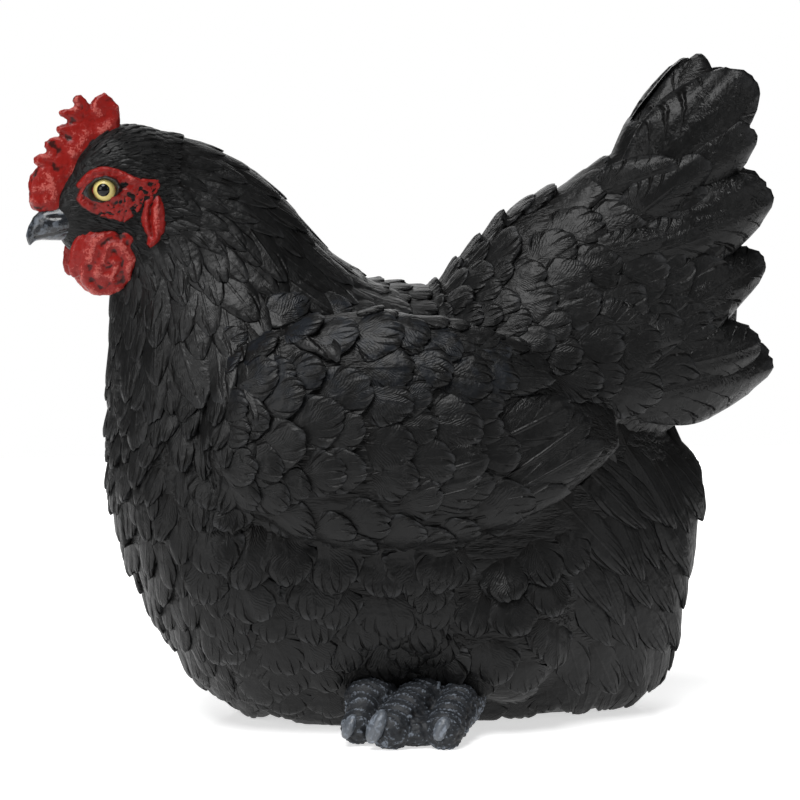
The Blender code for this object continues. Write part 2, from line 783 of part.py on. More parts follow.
def lid_shape(core, collection):
    """The rolled rim of skin round the eye."""
    skin, normal = from_side(core, *EYE_PLACE)
    curve = bpy.data.curves.new("lid_ring", "CURVE")
    curve.dimensions = "3D"
    curve.bevel_depth = LID_THICKNESS
    curve.bevel_resolution = 2
    spline = curve.splines.new("POLY")
    spline.points.add(LID_SIDES - 1)
    reach = EYE_RADIUS + LID_THICKNESS * LID_OVERLAP
    side = Vector((0, 0, 1)).cross(normal).normalized()
    up = normal.cross(side)
    for step, point in enumerate(spline.points):
        angle = 2 * math.pi * step / LID_SIDES
        spot = skin + side * reach * math.cos(angle) * LID_STRETCH + up * reach * math.sin(angle)
        point.co = (*spot, 1)
    spline.use_cyclic_u = True
    return curve_mesh(curve, collection)


# A raised patch: rings as a share of the way from its middle to its outline, and their heights as shares of its rise
PATCH_RINGS = ((1.0, -0.3), (0.94, 0.55), (0.72, 1.0), (0.36, 1.0))


def raised_patch(core, outline, rise, collection):
    """Bare skin that stands up from the head inside a side-view outline."""
    middle_x = sum(x for x, _ in outline) / len(outline)
    middle_z = sum(z for _, z in outline) / len(outline)
    sheet = bmesh.new()
    rows = []
    for share, height in PATCH_RINGS:
        row = []
        for x, z in outline:
            skin, normal = from_side(core, blend(middle_x, x, share), blend(middle_z, z, share))
            row.append(sheet.verts.new(skin + normal * rise * height))
        rows.append(row)
    skin, normal = from_side(core, middle_x, middle_z)
    pole = sheet.verts.new(skin + normal * rise)
    sides = len(outline)
    for row, after in zip(rows, rows[1:]):
        for step in range(sides):
            beside = (step + 1) % sides
            sheet.faces.new((row[step], row[beside], after[beside], after[step]))
    for step in range(sides):
        sheet.faces.new((rows[-1][step], rows[-1][(step + 1) % sides], pole))
    return thickened(sheet, rise * 2, collection)


def skin_lumps(core, collection):
    """Bare red skin of the face: cheek patch, ear lobe and wattle, left side."""
    patch = raised_patch(core, FACE_OUTLINE, FACE_SKIN_RISE, collection)
    lobe = raised_patch(core, EARLOBE_OUTLINE, EARLOBE_RISE, collection)
    wattle_half = (WATTLE_WIDTH / 2, WATTLE_THICKNESS / 2, WATTLE_LENGTH / 2)
    wattle = pebble(place(*WATTLE_PLACE), wattle_half, WATTLE_TURN, WATTLE_TILT)
    stems = [ball(centre, half, math.radians(tilt)) for centre, half, tilt in WATTLE_STEMS]
    return [patch, lobe, wattle] + stems


def foot_lumps():
    """Fat toes under the belly, each with its claw over it, left side."""
    return [ball(*lump) for lump in TOE_LUMPS] + [ball(*lump, CLAW_TILT) for lump in CLAW_LUMPS]


# Casting

# The face and comb, before and above these grid lines, keep more of their facets
FINE_GROUP = "facets_by_weight"
FINE_LENGTH = -118
FINE_HEIGHT = 214
FINE_KEEPING = 0.07
FINE_WEIGHT = 0.5

SKIN_KINDS = ("plumage", "comb_red", "horn", "iris", "pupil", "foot")
SKIN_LOOKS = {
    "plumage": ((0.030, 0.031, 0.033), 0.45),
    "comb_red": ((0.42, 0.028, 0.020), 0.50),
    "horn": ((0.060, 0.066, 0.075), 0.30),
    "iris": ((0.62, 0.52, 0.16), 0.15),
    "pupil": ((0.004, 0.004, 0.004), 0.10),
    "foot": ((0.085, 0.095, 0.108), 0.60),
}


def detail_shapes(core, collection):
    """Every added shape with the kind of skin it carries."""
    feathers, quills = feather_shell(core, collection)
    pieces = [(feathers, "plumage"), (quills, "plumage")]
    pieces += [(comb_shape(collection), "comb_red"), (comb_foot(collection), "comb_red")]
    pieces.append((loft([egg_ring(*ring) for ring in BEAK_RINGS]), "horn"))
    one_side = [(shape, "comb_red") for shape in skin_lumps(core, collection)]
    one_side.append((lid_shape(core, collection), "comb_red"))
    iris, pupil = eye_shapes(core)
    one_side += [(iris, "iris"), (pupil, "pupil")]
    one_side += [(shape, "foot") for shape in foot_lumps()]
    for shape, kind in one_side:
        pieces += [(mirrored(shape), kind), (shape, kind)]
    return pieces


def turn_head(shape):
    """The head looks a little to its left: the neck twists smoothly about an upright line."""
    axis = place(-84, 0, 0)
    unit_x, unit_z = place(1, 0, 1).x, place(1, 0, 1).z
    for vert in shape.verts:
        x, z = vert.co.x / unit_x, vert.co.z / unit_z
        share = smooth_step(180, 250, z) * smooth_step(0, 50, -x)
        if share > 0:
            turn = Matrix.Rotation(HEAD_TURN * share, 3, "Z")
            flat = Vector((vert.co.x - axis.x, vert.co.y, 0))
            flat = turn @ flat
            vert.co.x, vert.co.y = flat.x + axis.x, flat.y


def outer_body(shape):
    """Keeps the largest connected skin, so that no closed pocket is left inside."""
    todo = set(shape.verts)
    largest = []
    while todo:
        seed = todo.pop()
        group = [seed]
        stack = [seed]
        while stack:
            vert = stack.pop()
            for edge in vert.link_edges:
                other = edge.other_vert(vert)
                if other in todo:
                    todo.remove(other)
                    group.append(other)
                    stack.append(other)
        if len(group) > len(largest):
            largest = group
    kept = set(largest)
    bmesh.ops.delete(shape, geom=[vert for vert in shape.verts if vert not in kept], context="VERTS")


def cut_base(shape):
    """Cuts the underside flat and closes it, so that the casting rests on a true plane."""
    for vert in shape.verts:
        if abs(vert.co.z) < CUT_CLEARANCE:
            vert.co.z = math.copysign(CUT_CLEARANCE, vert.co.z)
    everything = list(shape.verts) + list(shape.edges) + list(shape.faces)
    bmesh.ops.bisect_plane(
        shape, geom=everything, dist=CUT_CLEARANCE / 100, plane_co=(0, 0, 0), plane_no=(0, 0, -1), clear_outer=True
    )
    rim = [edge for edge in shape.edges if edge.is_boundary]
    bmesh.ops.triangle_fill(shape, edges=rim, use_beauty=True, normal=(0, 0, -1))


def paint(mesh, pieces_tree, kinds_by_face):
    for face in mesh.polygons:
        _, _, index, _ = pieces_tree.find_nearest(face.center)
        face.material_index = SKIN_KINDS.index(kinds_by_face[index])


def mark_fine_skin(item):
    """Weights that let the body lose more facets than the face and comb."""
    group = item.vertex_groups.new(name=FINE_GROUP)
    unit = place(1, 1, 1)
    plain, fine = [], []
    for vert in item.data.vertices:
        on_face = vert.co.x / unit.x < FINE_LENGTH and vert.co.z / unit.z > FINE_HEIGHT
        (fine if on_face else plain).append(vert.index)
    group.add(plain, 1.0, "REPLACE")
    group.add(fine, FINE_WEIGHT, "REPLACE")


def build_hen(collection, guides):
    core_mesh = build_core(guides)
    core = Core(core_mesh)
    body = bmesh.new()
    body.from_mesh(core_mesh)
    pieces = [(body, "plumage")] + detail_shapes(core, guides)
    kinds_by_face = []
    for shape, kind in pieces:
        kinds_by_face += [kind] * len(shape.faces)
    whole = join_shapes([shape for shape, _ in pieces])
    bmesh.ops.translate(whole, verts=whole.verts, vec=(0, 0, -BASE_SINK))
    turn_head(whole)
    pieces_tree = BVHTree.FromBMesh(whole)
    skin = remeshed(whole, SKIN_CELL, 0, guides)

    item = bpy.data.objects.new(NAME, skin)
    guides.objects.link(item)
    mark_fine_skin(item)
    thin = item.modifiers.new("facets", "DECIMATE")
    thin.ratio = SKIN_TRIANGLES / (2 * len(skin.polygons))
    thin.vertex_group = FINE_GROUP
    thin.vertex_group_factor = FINE_KEEPING
    thinned = evaluated_mesh(item)
    bpy.data.objects.remove(item, do_unlink=True)

    shape = bmesh.new()
    shape.from_mesh(thinned)
    outer_body(shape)
    cut_base(shape)
    outer_body(shape)
    bmesh.ops.triangulate(shape, faces=shape.faces)
    low_x, high_x = min(v.co.x for v in shape.verts), max(v.co.x for v in shape.verts)
    low_y, high_y = min(v.co.y for v in shape.verts), max(v.co.y for v in shape.verts)
    shift = Vector((-(low_x + high_x) / 2, -(low_y + high_y) / 2, 0))
    print("origin shift", [round(value * 1000, 3) for value in shift])
    mesh = bpy.data.meshes.new(NAME)
    shape.to_mesh(mesh)
    shape.free()
    for kind in SKIN_KINDS:
        colour, roughness = SKIN_LOOKS[kind]
        mesh.materials.append(make_material(kind, colour, roughness))
    paint(mesh, pieces_tree, kinds_by_face)
    mesh.transform(Matrix.Translation(shift))
    mesh.shade_smooth()
    mesh.set_sharp_from_angle(angle=math.radians(40))
    hen = bpy.data.objects.new(NAME, mesh)
    collection.objects.link(hen)
    return hen


def main():
    clear_scene()
    parts = make_collection("hen_figurine")
    guides = make_collection("guides")
    build_hen(parts, guides)


main()
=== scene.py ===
# The hen figurine dressed for its picture: carved plumage, painted head and feet.
import functools
import math
import random

import bmesh
import bpy
import numpy as np
from mathutils import Matrix, Vector, noise
from mathutils.bvhtree import BVHTree


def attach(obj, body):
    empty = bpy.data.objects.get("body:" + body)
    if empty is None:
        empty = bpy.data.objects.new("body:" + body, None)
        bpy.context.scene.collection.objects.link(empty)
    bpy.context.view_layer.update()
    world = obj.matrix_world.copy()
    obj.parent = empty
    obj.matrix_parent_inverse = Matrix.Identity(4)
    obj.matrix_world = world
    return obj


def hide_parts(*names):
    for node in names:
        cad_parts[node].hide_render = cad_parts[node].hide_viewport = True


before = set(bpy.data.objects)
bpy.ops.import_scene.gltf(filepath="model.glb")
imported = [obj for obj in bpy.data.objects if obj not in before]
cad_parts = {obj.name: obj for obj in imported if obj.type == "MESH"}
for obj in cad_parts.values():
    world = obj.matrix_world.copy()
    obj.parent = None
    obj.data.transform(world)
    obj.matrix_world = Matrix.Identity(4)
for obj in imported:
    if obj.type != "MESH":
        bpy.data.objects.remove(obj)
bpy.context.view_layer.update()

mm = 0.001

# One grid step is about a millimetre: x from head to tail, y depth, z up
figure = {
    "step": (0.001, 0.00098, 0.001),
    "sink": 0.0012,
    "headTurn": 9.0,
    "turnAxis": -84.0,
    "shift": (-0.001512, 0.000086),
    "coreCell": 0.0024,
    "plump": 0.0018,
}
stepX, stepY, stepZ = figure["step"]


def place(x, y, z):
    return Vector((x * stepX, y * stepY, z * stepZ))


def blend(first, last, share):
    return first + (last - first) * share


def smoothStep(low, high, value):
    share = np.clip((value - low) / (high - low), 0.0, 1.0)
    return share * share * (3.0 - 2.0 * share)


# Grid places as cast: lowered to the base plane, the head turned, centred on the frame
def settle(points):
    points = np.array(points, float)
    points[:, 2] -= figure["sink"]
    share = smoothStep(180, 250, points[:, 2] / stepZ) * smoothStep(0, 50, -points[:, 0] / stepX)
    turn = np.radians(figure["headTurn"]) * share
    axis = figure["turnAxis"] * stepX
    x, y = points[:, 0] - axis, points[:, 1].copy()
    points[:, 0] = np.cos(turn) * x - np.sin(turn) * y + axis + figure["shift"][0]
    points[:, 1] = np.sin(turn) * x + np.cos(turn) * y + figure["shift"][1]
    return points


# The camera comes first
view = {
    "azimuth": -8.0,
    "elevation": 5.8,
    "distance": 1.6,
    "target": (-0.0027, 0.0, 0.158),
    "pixelsPerMetre": 1985.0,
    "pictureSide": 800.0,
}


def makeCamera():
    azimuth, elevation = math.radians(view["azimuth"]), math.radians(view["elevation"])
    level = math.cos(elevation)
    back = Vector((math.sin(azimuth) * level, -math.cos(azimuth) * level, math.sin(elevation)))
    target = Vector(view["target"])
    camera = bpy.data.objects.new("camera", bpy.data.cameras.new("camera"))
    bpy.context.scene.collection.objects.link(camera)
    camera.location = target + back * view["distance"]
    camera.rotation_euler = (-back).to_track_quat("-Z", "Y").to_euler()
    camera.data.angle = 2 * math.atan(view["pictureSide"] / 2 / (view["pixelsPerMetre"] * view["distance"]))
    camera.data.clip_start = 0.01
    bpy.context.scene.camera = camera


makeCamera()


# Node helpers
def feed(tree, socket, value):
    if isinstance(value, bpy.types.NodeSocket):
        tree.links.new(value, socket)
    else:
        socket.default_value = value


def addNode(tree, kind, sockets=None, **settings):
    made = tree.nodes.new(kind)
    for name, value in settings.items():
        setattr(made, name, value)
    for name, value in (sockets or {}).items():
        feed(tree, made.inputs[name], value)
    return made


def calc(tree, operation, first, second=0.0, third=0.0):
    return addNode(tree, "ShaderNodeMath", {0: first, 1: second, 2: third}, operation=operation).outputs[0]


# Short names for the sums of one node tree
def sums(tree):
    return [functools.partial(calc, tree, name) for name in ("ADD", "SUBTRACT", "MULTIPLY", "MULTIPLY_ADD")]


def span(tree, value, low, high, toLow=0.0, toHigh=1.0):
    sockets = {"Value": value, "From Min": low, "From Max": high, "To Min": toLow, "To Max": toHigh}
    return addNode(tree, "ShaderNodeMapRange", sockets, interpolation_type="SMOOTHSTEP").outputs[0]


def either(tree, factor, first, second):
    return addNode(tree, "ShaderNodeMix", {0: factor, 2: first, 3: second}).outputs[0]


def mixed(tree, factor, first, second, how="MIX"):
    sockets = {0: factor, 6: first, 7: second}
    return addNode(tree, "ShaderNodeMix", sockets, data_type="RGBA", blend_type=how).outputs[2]


def objectPlace(tree):
    return addNode(tree, "ShaderNodeTexCoord").outputs["Object"]


def attribute(tree, name):
    return addNode(tree, "ShaderNodeAttribute", attribute_name=name).outputs["Fac"]


def speckle(tree, scale, detail=3.0, roughness=0.55, stretch=None):
    vector = objectPlace(tree)
    if stretch:
        sockets = {0: vector, 1: stretch}
        vector = addNode(tree, "ShaderNodeVectorMath", sockets, operation="MULTIPLY").outputs[0]
    sockets = {"Vector": vector, "Scale": scale, "Detail": detail, "Roughness": roughness}
    return addNode(tree, "ShaderNodeTexNoise", sockets).outputs[0]


floatKind, colourKind = "NodeSocketFloat", "NodeSocketColor"


# A shader group with named inputs that puts out a colour, a roughness and a height
def makeGroup(name, inputs):
    tree = bpy.data.node_groups.new(name, "ShaderNodeTree")
    for label, value in inputs.items():
        kind = colourKind if isinstance(value, tuple) else floatKind
        tree.interface.new_socket(label, in_out="INPUT", socket_type=kind).default_value = value
    for label, kind in (("Color", colourKind), ("Roughness", floatKind), ("Height", floatKind)):
        tree.interface.new_socket(label, in_out="OUTPUT", socket_type=kind)
    return tree, addNode(tree, "NodeGroupInput").outputs, addNode(tree, "NodeGroupOutput")


def closeGroup(tree, end, **results):
    for label, value in results.items():
        feed(tree, end.inputs[label], value)
    return tree


# Carved barbs, shaft and split rims of one feather, from its own UV, with grey dry-brush and a painted
# highlight on its edges
def featherGroup():
    tree, given, end = makeGroup("carvedFeather", {
        "Base": (0.03, 0.03, 0.03, 1), "Recess": (0.01, 0.01, 0.01, 1), "Brush And Highlight": (0.08, 0.08, 0.09, 1),
        "Brush And Highlight Amount": 0.5, "Upper": (0.03, 0.03, 0.03, 1), "Upper From": 1.0, "Barb Count": 16.0,
        "Barb Slant": 0.6, "Barb Depth": 0.3, "Split Count": 7.0, "Split Depth": 0.6, "Side Cuts": 0.0,
        "Root Shade": 1.0, "Shaft Height": 0.25, "Roughness": 0.42,
    })
    add, subtract, times, timesAdd = sums(tree)
    uv = addNode(tree, "ShaderNodeUVMap", uv_map="featherUv").outputs[0]
    parts = addNode(tree, "ShaderNodeSeparateXYZ", {0: uv}).outputs
    across, along = timesAdd(parts[0], 2.0, -1.0), parts[1]
    side = calc(tree, "ABSOLUTE", across)
    tint = attribute(tree, "tint")
    cloud = speckle(tree, 160.0, 2.0)

    # Barbs leave the shaft at a slant, wander a little and come in patches
    slanted = timesAdd(side, times(given["Barb Slant"], -1.0), along)
    wander = times(add(cloud, tint), 0.22)
    barbWave = calc(tree, "SINE", times(add(slanted, wander), times(given["Barb Count"], 6.283)))
    patch = span(tree, speckle(tree, 90.0, 2.0), 0.35, 0.62)
    barbs = times(times(barbWave, patch), given["Barb Depth"])

    # Curved cuts start at the rim all round and hook towards the shaft; each lane has one or none
    ahead = calc(tree, "DIVIDE", subtract(along, 0.30), 0.70)
    turn = calc(tree, "ABSOLUTE", calc(tree, "ARCTAN2", across, add(ahead, 0.12)))
    square = calc(tree, "POWER", calc(tree, "MAXIMUM", ahead, 0.0), 4.0)
    rounded = calc(tree, "POWER", add(square, calc(tree, "POWER", side, 4.0)), 0.25)
    toRim = either(tree, given["Side Cuts"], rounded, timesAdd(side, 0.6, 0.38))
    hooked = timesAdd(times(rounded, rounded), 0.20, times(turn, 0.64))
    lane = either(tree, given["Side Cuts"], hooked, timesAdd(times(side, side), -0.25, slanted))
    halves = times(calc(tree, "GREATER_THAN", across, 0.0), 0.37)
    lane = add(times(lane, given["Split Count"]), add(times(cloud, 0.4), timesAdd(tint, 23.0, halves)))
    cell = {0: calc(tree, "FLOOR", lane), 1: timesAdd(tint, 57.0, halves)}
    cell = addNode(tree, "ShaderNodeCombineXYZ", cell).outputs[0]
    pick = addNode(tree, "ShaderNodeTexWhiteNoise", {"Vector": cell}, noise_dimensions="2D").outputs["Value"]
    gap = calc(tree, "ABSOLUTE", subtract(calc(tree, "FRACT", lane), 0.5))
    reach = calc(tree, "DIVIDE", subtract(toRim, timesAdd(pick, 0.40, 0.38)), 0.34)
    reach = calc(tree, "MINIMUM", calc(tree, "MAXIMUM", reach, 0.0), span(tree, along, 0.25, 0.60))
    cuts = times(span(tree, gap, times(reach, 0.25), 0.0), reach)

    # Relief: the shaft stands up, the cuts go in, and the whole has a slight grain
    shaft = times(span(tree, side, 0.09, 0.015), times(span(tree, along, 1.0, 0.6), given["Shaft Height"]))
    grain = timesAdd(speckle(tree, 1400.0, 2.0), 0.10, times(speckle(tree, 170.0, 2.0, 0.5), 0.9))
    height = add(subtract(add(barbs, shaft), times(cuts, given["Split Depth"])), grain)

    # Paint: bluer above as a painted sheen, painted shade at the root and in the cuts, grey dry-brush with a
    # painted highlight on rim and barbs
    # Grey dry-brush with a painted highlight on the rim and on the barb crests
    rim = calc(tree, "MAXIMUM", span(tree, along, 0.86, 0.99), span(tree, side, 0.80, 0.97))
    rimBrushAndHighlight = times(times(rim, span(tree, cloud, 0.38, 0.62)), given["Brush And Highlight Amount"])
    fine = times(times(span(tree, barbWave, 0.2, 1.0), patch), times(given["Brush And Highlight Amount"], 0.11))
    # Painted shade: darker at the feather root and in the cuts
    paintedRootShade = times(span(tree, along, 0.50, 0.25), given["Root Shade"])
    paintedShade = calc(tree, "MAXIMUM", paintedRootShade, times(cuts, 0.9))
    # Painted sheen: the feathers turn bluer above the height Upper From
    level = addNode(tree, "ShaderNodeSeparateXYZ", {0: objectPlace(tree)}).outputs[2]
    upper = span(tree, subtract(level, given["Upper From"]), 0.0, 0.03)
    colour = mixed(tree, times(upper, span(tree, cloud, 0.40, 0.60)), given["Base"], given["Upper"])
    colour = mixed(tree, paintedShade, colour, given["Recess"])
    colour = mixed(tree, add(rimBrushAndHighlight, fine), colour, given["Brush And Highlight"])
    lively = timesAdd(tint, 0.5, 0.75)
    shade = addNode(tree, "ShaderNodeCombineColor", {0: lively, 1: lively, 2: lively}).outputs[0]
    colour = mixed(tree, 1.0, colour, shade, "MULTIPLY")
    rough = add(given["Roughness"], timesAdd(cloud, 0.16, -0.08))
    return closeGroup(tree, end, Color=colour, Roughness=rough, Height=height)


# Bare skin: dark wash with painted shade in the folds, base paint, pale dry-brush with a painted highlight on
# what stands up
def skinGroup():
    tree, given, end = makeGroup("paintedSkin", {
        "Base": (0.4, 0.03, 0.02, 1), "Wash And Shade": (0.08, 0.01, 0.01, 1), "Brush And Highlight": (0.7, 0.3, 0.28, 1),
        "Brush And Highlight Amount": 0.6, "Scale": 500.0, "Roughness": 0.45,
    })
    add, subtract, times, timesAdd = sums(tree)
    raised = attribute(tree, "raised")
    blotch = speckle(tree, given["Scale"], 4.0, 0.65)
    streak = speckle(tree, times(given["Scale"], 2.2), 3.0, 0.6)
    # Painted shade in the low folds and a painted highlight on the high relief, along with the wash and
    # dry-brush
    low = span(tree, add(raised, timesAdd(blotch, 0.3, -0.15)), 0.28, 0.0)
    high = span(tree, add(times(raised, 0.8), times(streak, 1.2)), 1.14, 1.44)
    colour = mixed(tree, low, given["Base"], given["Wash And Shade"])
    colour = mixed(tree, times(high, given["Brush And Highlight Amount"]), colour, given["Brush And Highlight"])
    rough = add(given["Roughness"], times(high, 0.15))
    height = add(times(blotch, 0.6), times(streak, 0.4))
    return closeGroup(tree, end, Color=colour, Roughness=rough, Height=height)


# Fine hair-like grooves that run along the body, for the skin between the feathers, the grooves darkened with
# painted shade
def groovedGroup():
    tree, given, end = makeGroup("groovedSkin", {
        "Base": (0.005, 0.005, 0.005, 1), "Recess": (0.001, 0.001, 0.001, 1), "Scale": 340.0,
        "Roughness": 0.4,
    })
    groove = span(tree, speckle(tree, given["Scale"], 3.0, 0.6, stretch=(0.16, 1.0, 1.0)), 0.30, 0.62)
    colour = mixed(tree, groove, given["Recess"], given["Base"])
    return closeGroup(tree, end, Color=colour, Roughness=given["Roughness"], Height=groove)


def newMaterial(name):
    made = bpy.data.materials.new(name)
    made.use_nodes = True
    return made, made.node_tree, made.node_tree.nodes["Principled BSDF"].inputs


def groupMaterial(name, group, values, bumpReach, shine=0.5):
    made, tree, shader = newMaterial(name)
    used = addNode(tree, "ShaderNodeGroup", values, node_tree=group)
    bump = {"Strength": 1.0, "Distance": bumpReach, "Height": used.outputs["Height"]}
    feed(tree, shader["Base Color"], used.outputs["Color"])
    feed(tree, shader["Roughness"], used.outputs["Roughness"])
    feed(tree, shader["Normal"], addNode(tree, "ShaderNodeBump", bump).outputs[0])
    shader["Specular IOR Level"].default_value = shine
    return made


# Colours are linear
# The darkest black is painted shade for roots, cuts, grooves and lids; the pale tones are dry-brush with a
# painted highlight; the dark washes carry painted shade; the blue black is a painted sheen
paint = {
    "black": (0.0048, 0.0049, 0.0050, 1),
    "recess": (0.0014, 0.0012, 0.0011, 1),
    "brushAndHighlight": (0.034, 0.035, 0.037, 1),
    "blueBlack": (0.0050, 0.0064, 0.0088, 1),
    "red": (0.20, 0.008, 0.006, 1),
    "redWashAndShade": (0.030, 0.006, 0.005, 1),
    "redBrushAndHighlight": (0.48, 0.12, 0.10, 1),
    "slate": (0.0105, 0.012, 0.0145, 1),
    "slateWashAndShade": (0.007, 0.007, 0.008, 1),
    "paleSlate": (0.14, 0.16, 0.19, 1),
    "claw": (0.060, 0.068, 0.080, 1),
    "iris": (0.56, 0.46, 0.17, 1),
    "irisRing": (0.30, 0.22, 0.07, 1),
    "pupil": (0.003, 0.003, 0.004, 1),
    "pupilRing": (0.003, 0.003, 0.003, 1),
}
carved, painted, grooved = featherGroup(), skinGroup(), groovedGroup()

# The carving of each kind of feather; everyFeather holds where a kind names no value of its own
featherFinish = {"bump": 0.0009, "shine": 0.18}
everyFeather = {"Brush And Highlight Amount": 0.5, "Roughness": 0.40, "Barb Depth": 0.05, "Split Count": 5.0}
featherLooks = {
    "scallop": {"Barb Count": 16.0, "Split Depth": 1.8, "Shaft Height": 0.11},
    "blueScallop": {"Upper From": 0.155, "Barb Count": 16.0, "Split Depth": 1.8, "Shaft Height": 0.10},
    "hackle": {
        "Brush And Highlight Amount": 0.30, "Roughness": 0.36, "Barb Count": 18.0, "Barb Depth": 0.03, "Split Depth": 0.8,
        "Split Count": 2.0, "Shaft Height": 0.2,
    },
    "breast": {
        "Brush And Highlight Amount": 0.40, "Barb Count": 14.0, "Split Depth": 1.3, "Split Count": 3.2, "Shaft Height": 0.2,
    },
    "quill": {
        "Brush And Highlight Amount": 0.26, "Roughness": 0.38, "Barb Count": 40.0, "Barb Slant": 0.40, "Split Depth": 1.3,
        "Split Count": 5.5, "Side Cuts": 1.0, "Root Shade": 0.2,
    },
    "blade": {
        "Brush And Highlight Amount": 0.3, "Roughness": 0.38, "Barb Count": 34.0, "Barb Slant": 0.30, "Barb Depth": 0.04,
        "Split Depth": 1.3, "Split Count": 7.0, "Side Cuts": 1.0, "Shaft Height": 0.5,
    },
    "wisp": {"Brush And Highlight Amount": 0.30, "Roughness": 0.42, "Barb Count": 9.0, "Barb Depth": 0.03, "Split Depth": 1.6},
}


def plumage(name, carving):
    colours = {
        "Base": paint["black"], "Upper": paint["blueBlack"], "Recess": paint["recess"],
        "Brush And Highlight": paint["brushAndHighlight"],
    }
    values = {**colours, **everyFeather, **carving}
    return groupMaterial(f"{name}Look", carved, values, featherFinish["bump"], featherFinish["shine"])


looks = {name: plumage(name, carving) for name, carving in featherLooks.items()}
print("feather looks", len(looks))
# The body core, on which every feather is moulded
trunkRings = (
    ((-143.5, 166), (-144.5, 110), 20, 0.50), ((-136, 188), (-135.5, 80), 43, 0.46),
    ((-119, 201), (-121, 49), 61, 0.44), ((-98, 208), (-103, 22), 73, 0.42),
    ((-73, 213), (-78, 6), 80, 0.42), ((-42, 216), (-44, -3), 83, 0.42),
    ((-8, 217.5), (-8, -3), 84, 0.42), ((28, 211), (26, -3), 81, 0.42), ((62, 203), (60, -2), 75, 0.42),
    ((92, 190), (91, 0), 66, 0.44), ((114, 172), (114, 4), 54, 0.46), ((132, 146), (130, 15), 41, 0.50),
    ((150, 128), (146, 94), 18, 0.55),
)
neckRings = (
    ((-117, 294.5), (-158, 238), 15, 0.50), ((-100, 289), (-152, 230), 20, 0.50),
    ((-79, 277), (-145, 219), 26, 0.50), ((-58, 257), (-144.5, 205), 36, 0.48),
    ((-41, 234.5), (-144.5, 188), 48, 0.46), ((-16, 216), (-145.5, 166), 60, 0.44),
    ((22, 204), (-143, 140), 70, 0.42), ((50, 172), (-128, 110), 60, 0.42),
)
tailRings = (
    ((6, 204), (60, 110), 70, 0.40), ((33, 230.5), (104, 126), 62, 0.40),
    ((57.5, 253), (134, 144), 50, 0.38), ((84, 265), (158, 156), 39, 0.36),
    ((110, 279), (168, 172), 31, 0.36), ((126, 305), (170, 208), 24, 0.38),
    ((140, 323), (171, 256), 17, 0.42), ((152, 334), (166, 300), 9, 0.50),
)
wingStations = (
    (-102, 138, 172, -66, 5), (-86, 116, 190, -70, 14), (-56, 102, 205, -73, 18),
    (-20, 97, 209, -75, 19.5), (16, 101, 202, -74, 19), (46, 110, 190, -71, 16), (70, 122, 176, -67, 12),
    (88, 134, 164, -62, 8), (97, 142, 158, -58, 4),
)
headBall = ((-137, 0, 268), (32, 22, 30))
faceBall = ((-156, 0, 256), (20, 14, 24))
thighBall = ((40, -60, 58), (34, 24, 40))
shoulderBall = ((-78, -62, 150), (26, 18, 36))
ringSides = 28


def eggRing(top, bottom, halfWidth, widest):
    middle = (bottom[0] + widest * (top[0] - bottom[0]), bottom[1] + widest * (top[1] - bottom[1]))
    ring = []
    for step in range(ringSides):
        angle = 2 * math.pi * step / ringSides
        far = top if math.cos(angle) > 0 else bottom
        share = abs(math.cos(angle))
        x, z = (blend(near, end, share) for near, end in zip(middle, far))
        ring.append(place(x, halfWidth * math.sin(angle), z))
    return ring


# A closed skin through rings of equally many points
def loft(rings):
    shape = bmesh.new()
    rows = [[shape.verts.new(point) for point in ring] for ring in rings]
    sides = len(rows[0])
    for row, after in zip(rows, rows[1:]):
        for step in range(sides):
            beside = (step + 1) % sides
            shape.faces.new((row[step], row[beside], after[beside], after[step]))
    for row in (rows[0], rows[-1]):
        pole = shape.verts.new(sum((vert.co for vert in row), Vector()) / sides)
        for step in range(sides):
            shape.faces.new((row[step], row[(step + 1) % sides], pole))
    bmesh.ops.recalc_face_normals(shape, faces=shape.faces)
    return shape


# An ellipsoid; its half sizes are in metres and its frame is turned by the matrix
def ball(centre, halfSizes, matrix=None, segments=28, rings=18):
    shape = bmesh.new()
    bmesh.ops.create_uvsphere(shape, u_segments=segments, v_segments=rings, radius=1.0)
    turn = matrix.to_4x4() if matrix is not None else Matrix.Identity(4)
    shape.transform(Matrix.Translation(centre) @ turn @ Matrix.Diagonal((*halfSizes, 1.0)))
    return shape


def wingSlab(side):
    rings = []
    for x, low, high, depth, half in wingStations:
        ring = []
        for step in range(ringSides):
            angle = 2 * math.pi * step / ringSides
            z = (low + high) / 2 + (high - low) / 2 * math.cos(angle)
            ring.append(place(x, (depth - half * math.sin(angle) + 10 * math.cos(angle)) * side, z))
        rings.append(ring)
    return loft(rings)


def joined(shapes):
    whole = bmesh.new()
    for shape in shapes:
        mesh = bpy.data.meshes.new("part")
        shape.to_mesh(mesh)
        shape.free()
        whole.from_mesh(mesh)
        bpy.data.meshes.remove(mesh)
    return whole


def makeObject(name, mesh):
    made = bpy.data.objects.new(name, mesh)
    bpy.context.scene.collection.objects.link(made)
    return made


def evaluated(item):
    graph = bpy.context.evaluated_depsgraph_get()
    graph.update()
    ready = item.evaluated_get(graph)
    return bpy.data.meshes.new_from_object(ready, preserve_all_data_layers=True, depsgraph=graph)


# One even skin over overlapping shapes
def remeshed(shape, cell, smoothing):
    mesh = bpy.data.meshes.new("source")
    shape.to_mesh(mesh)
    shape.free()
    item = makeObject("source", mesh)
    remesh = item.modifiers.new("skin", "REMESH")
    remesh.mode, remesh.voxel_size = "VOXEL", cell
    if smoothing:
        soften = item.modifiers.new("soften", "SMOOTH")
        soften.factor, soften.iterations = 0.5, smoothing
    made = evaluated(item)
    bpy.data.objects.remove(item, do_unlink=True)
    bpy.data.meshes.remove(mesh)
    return made


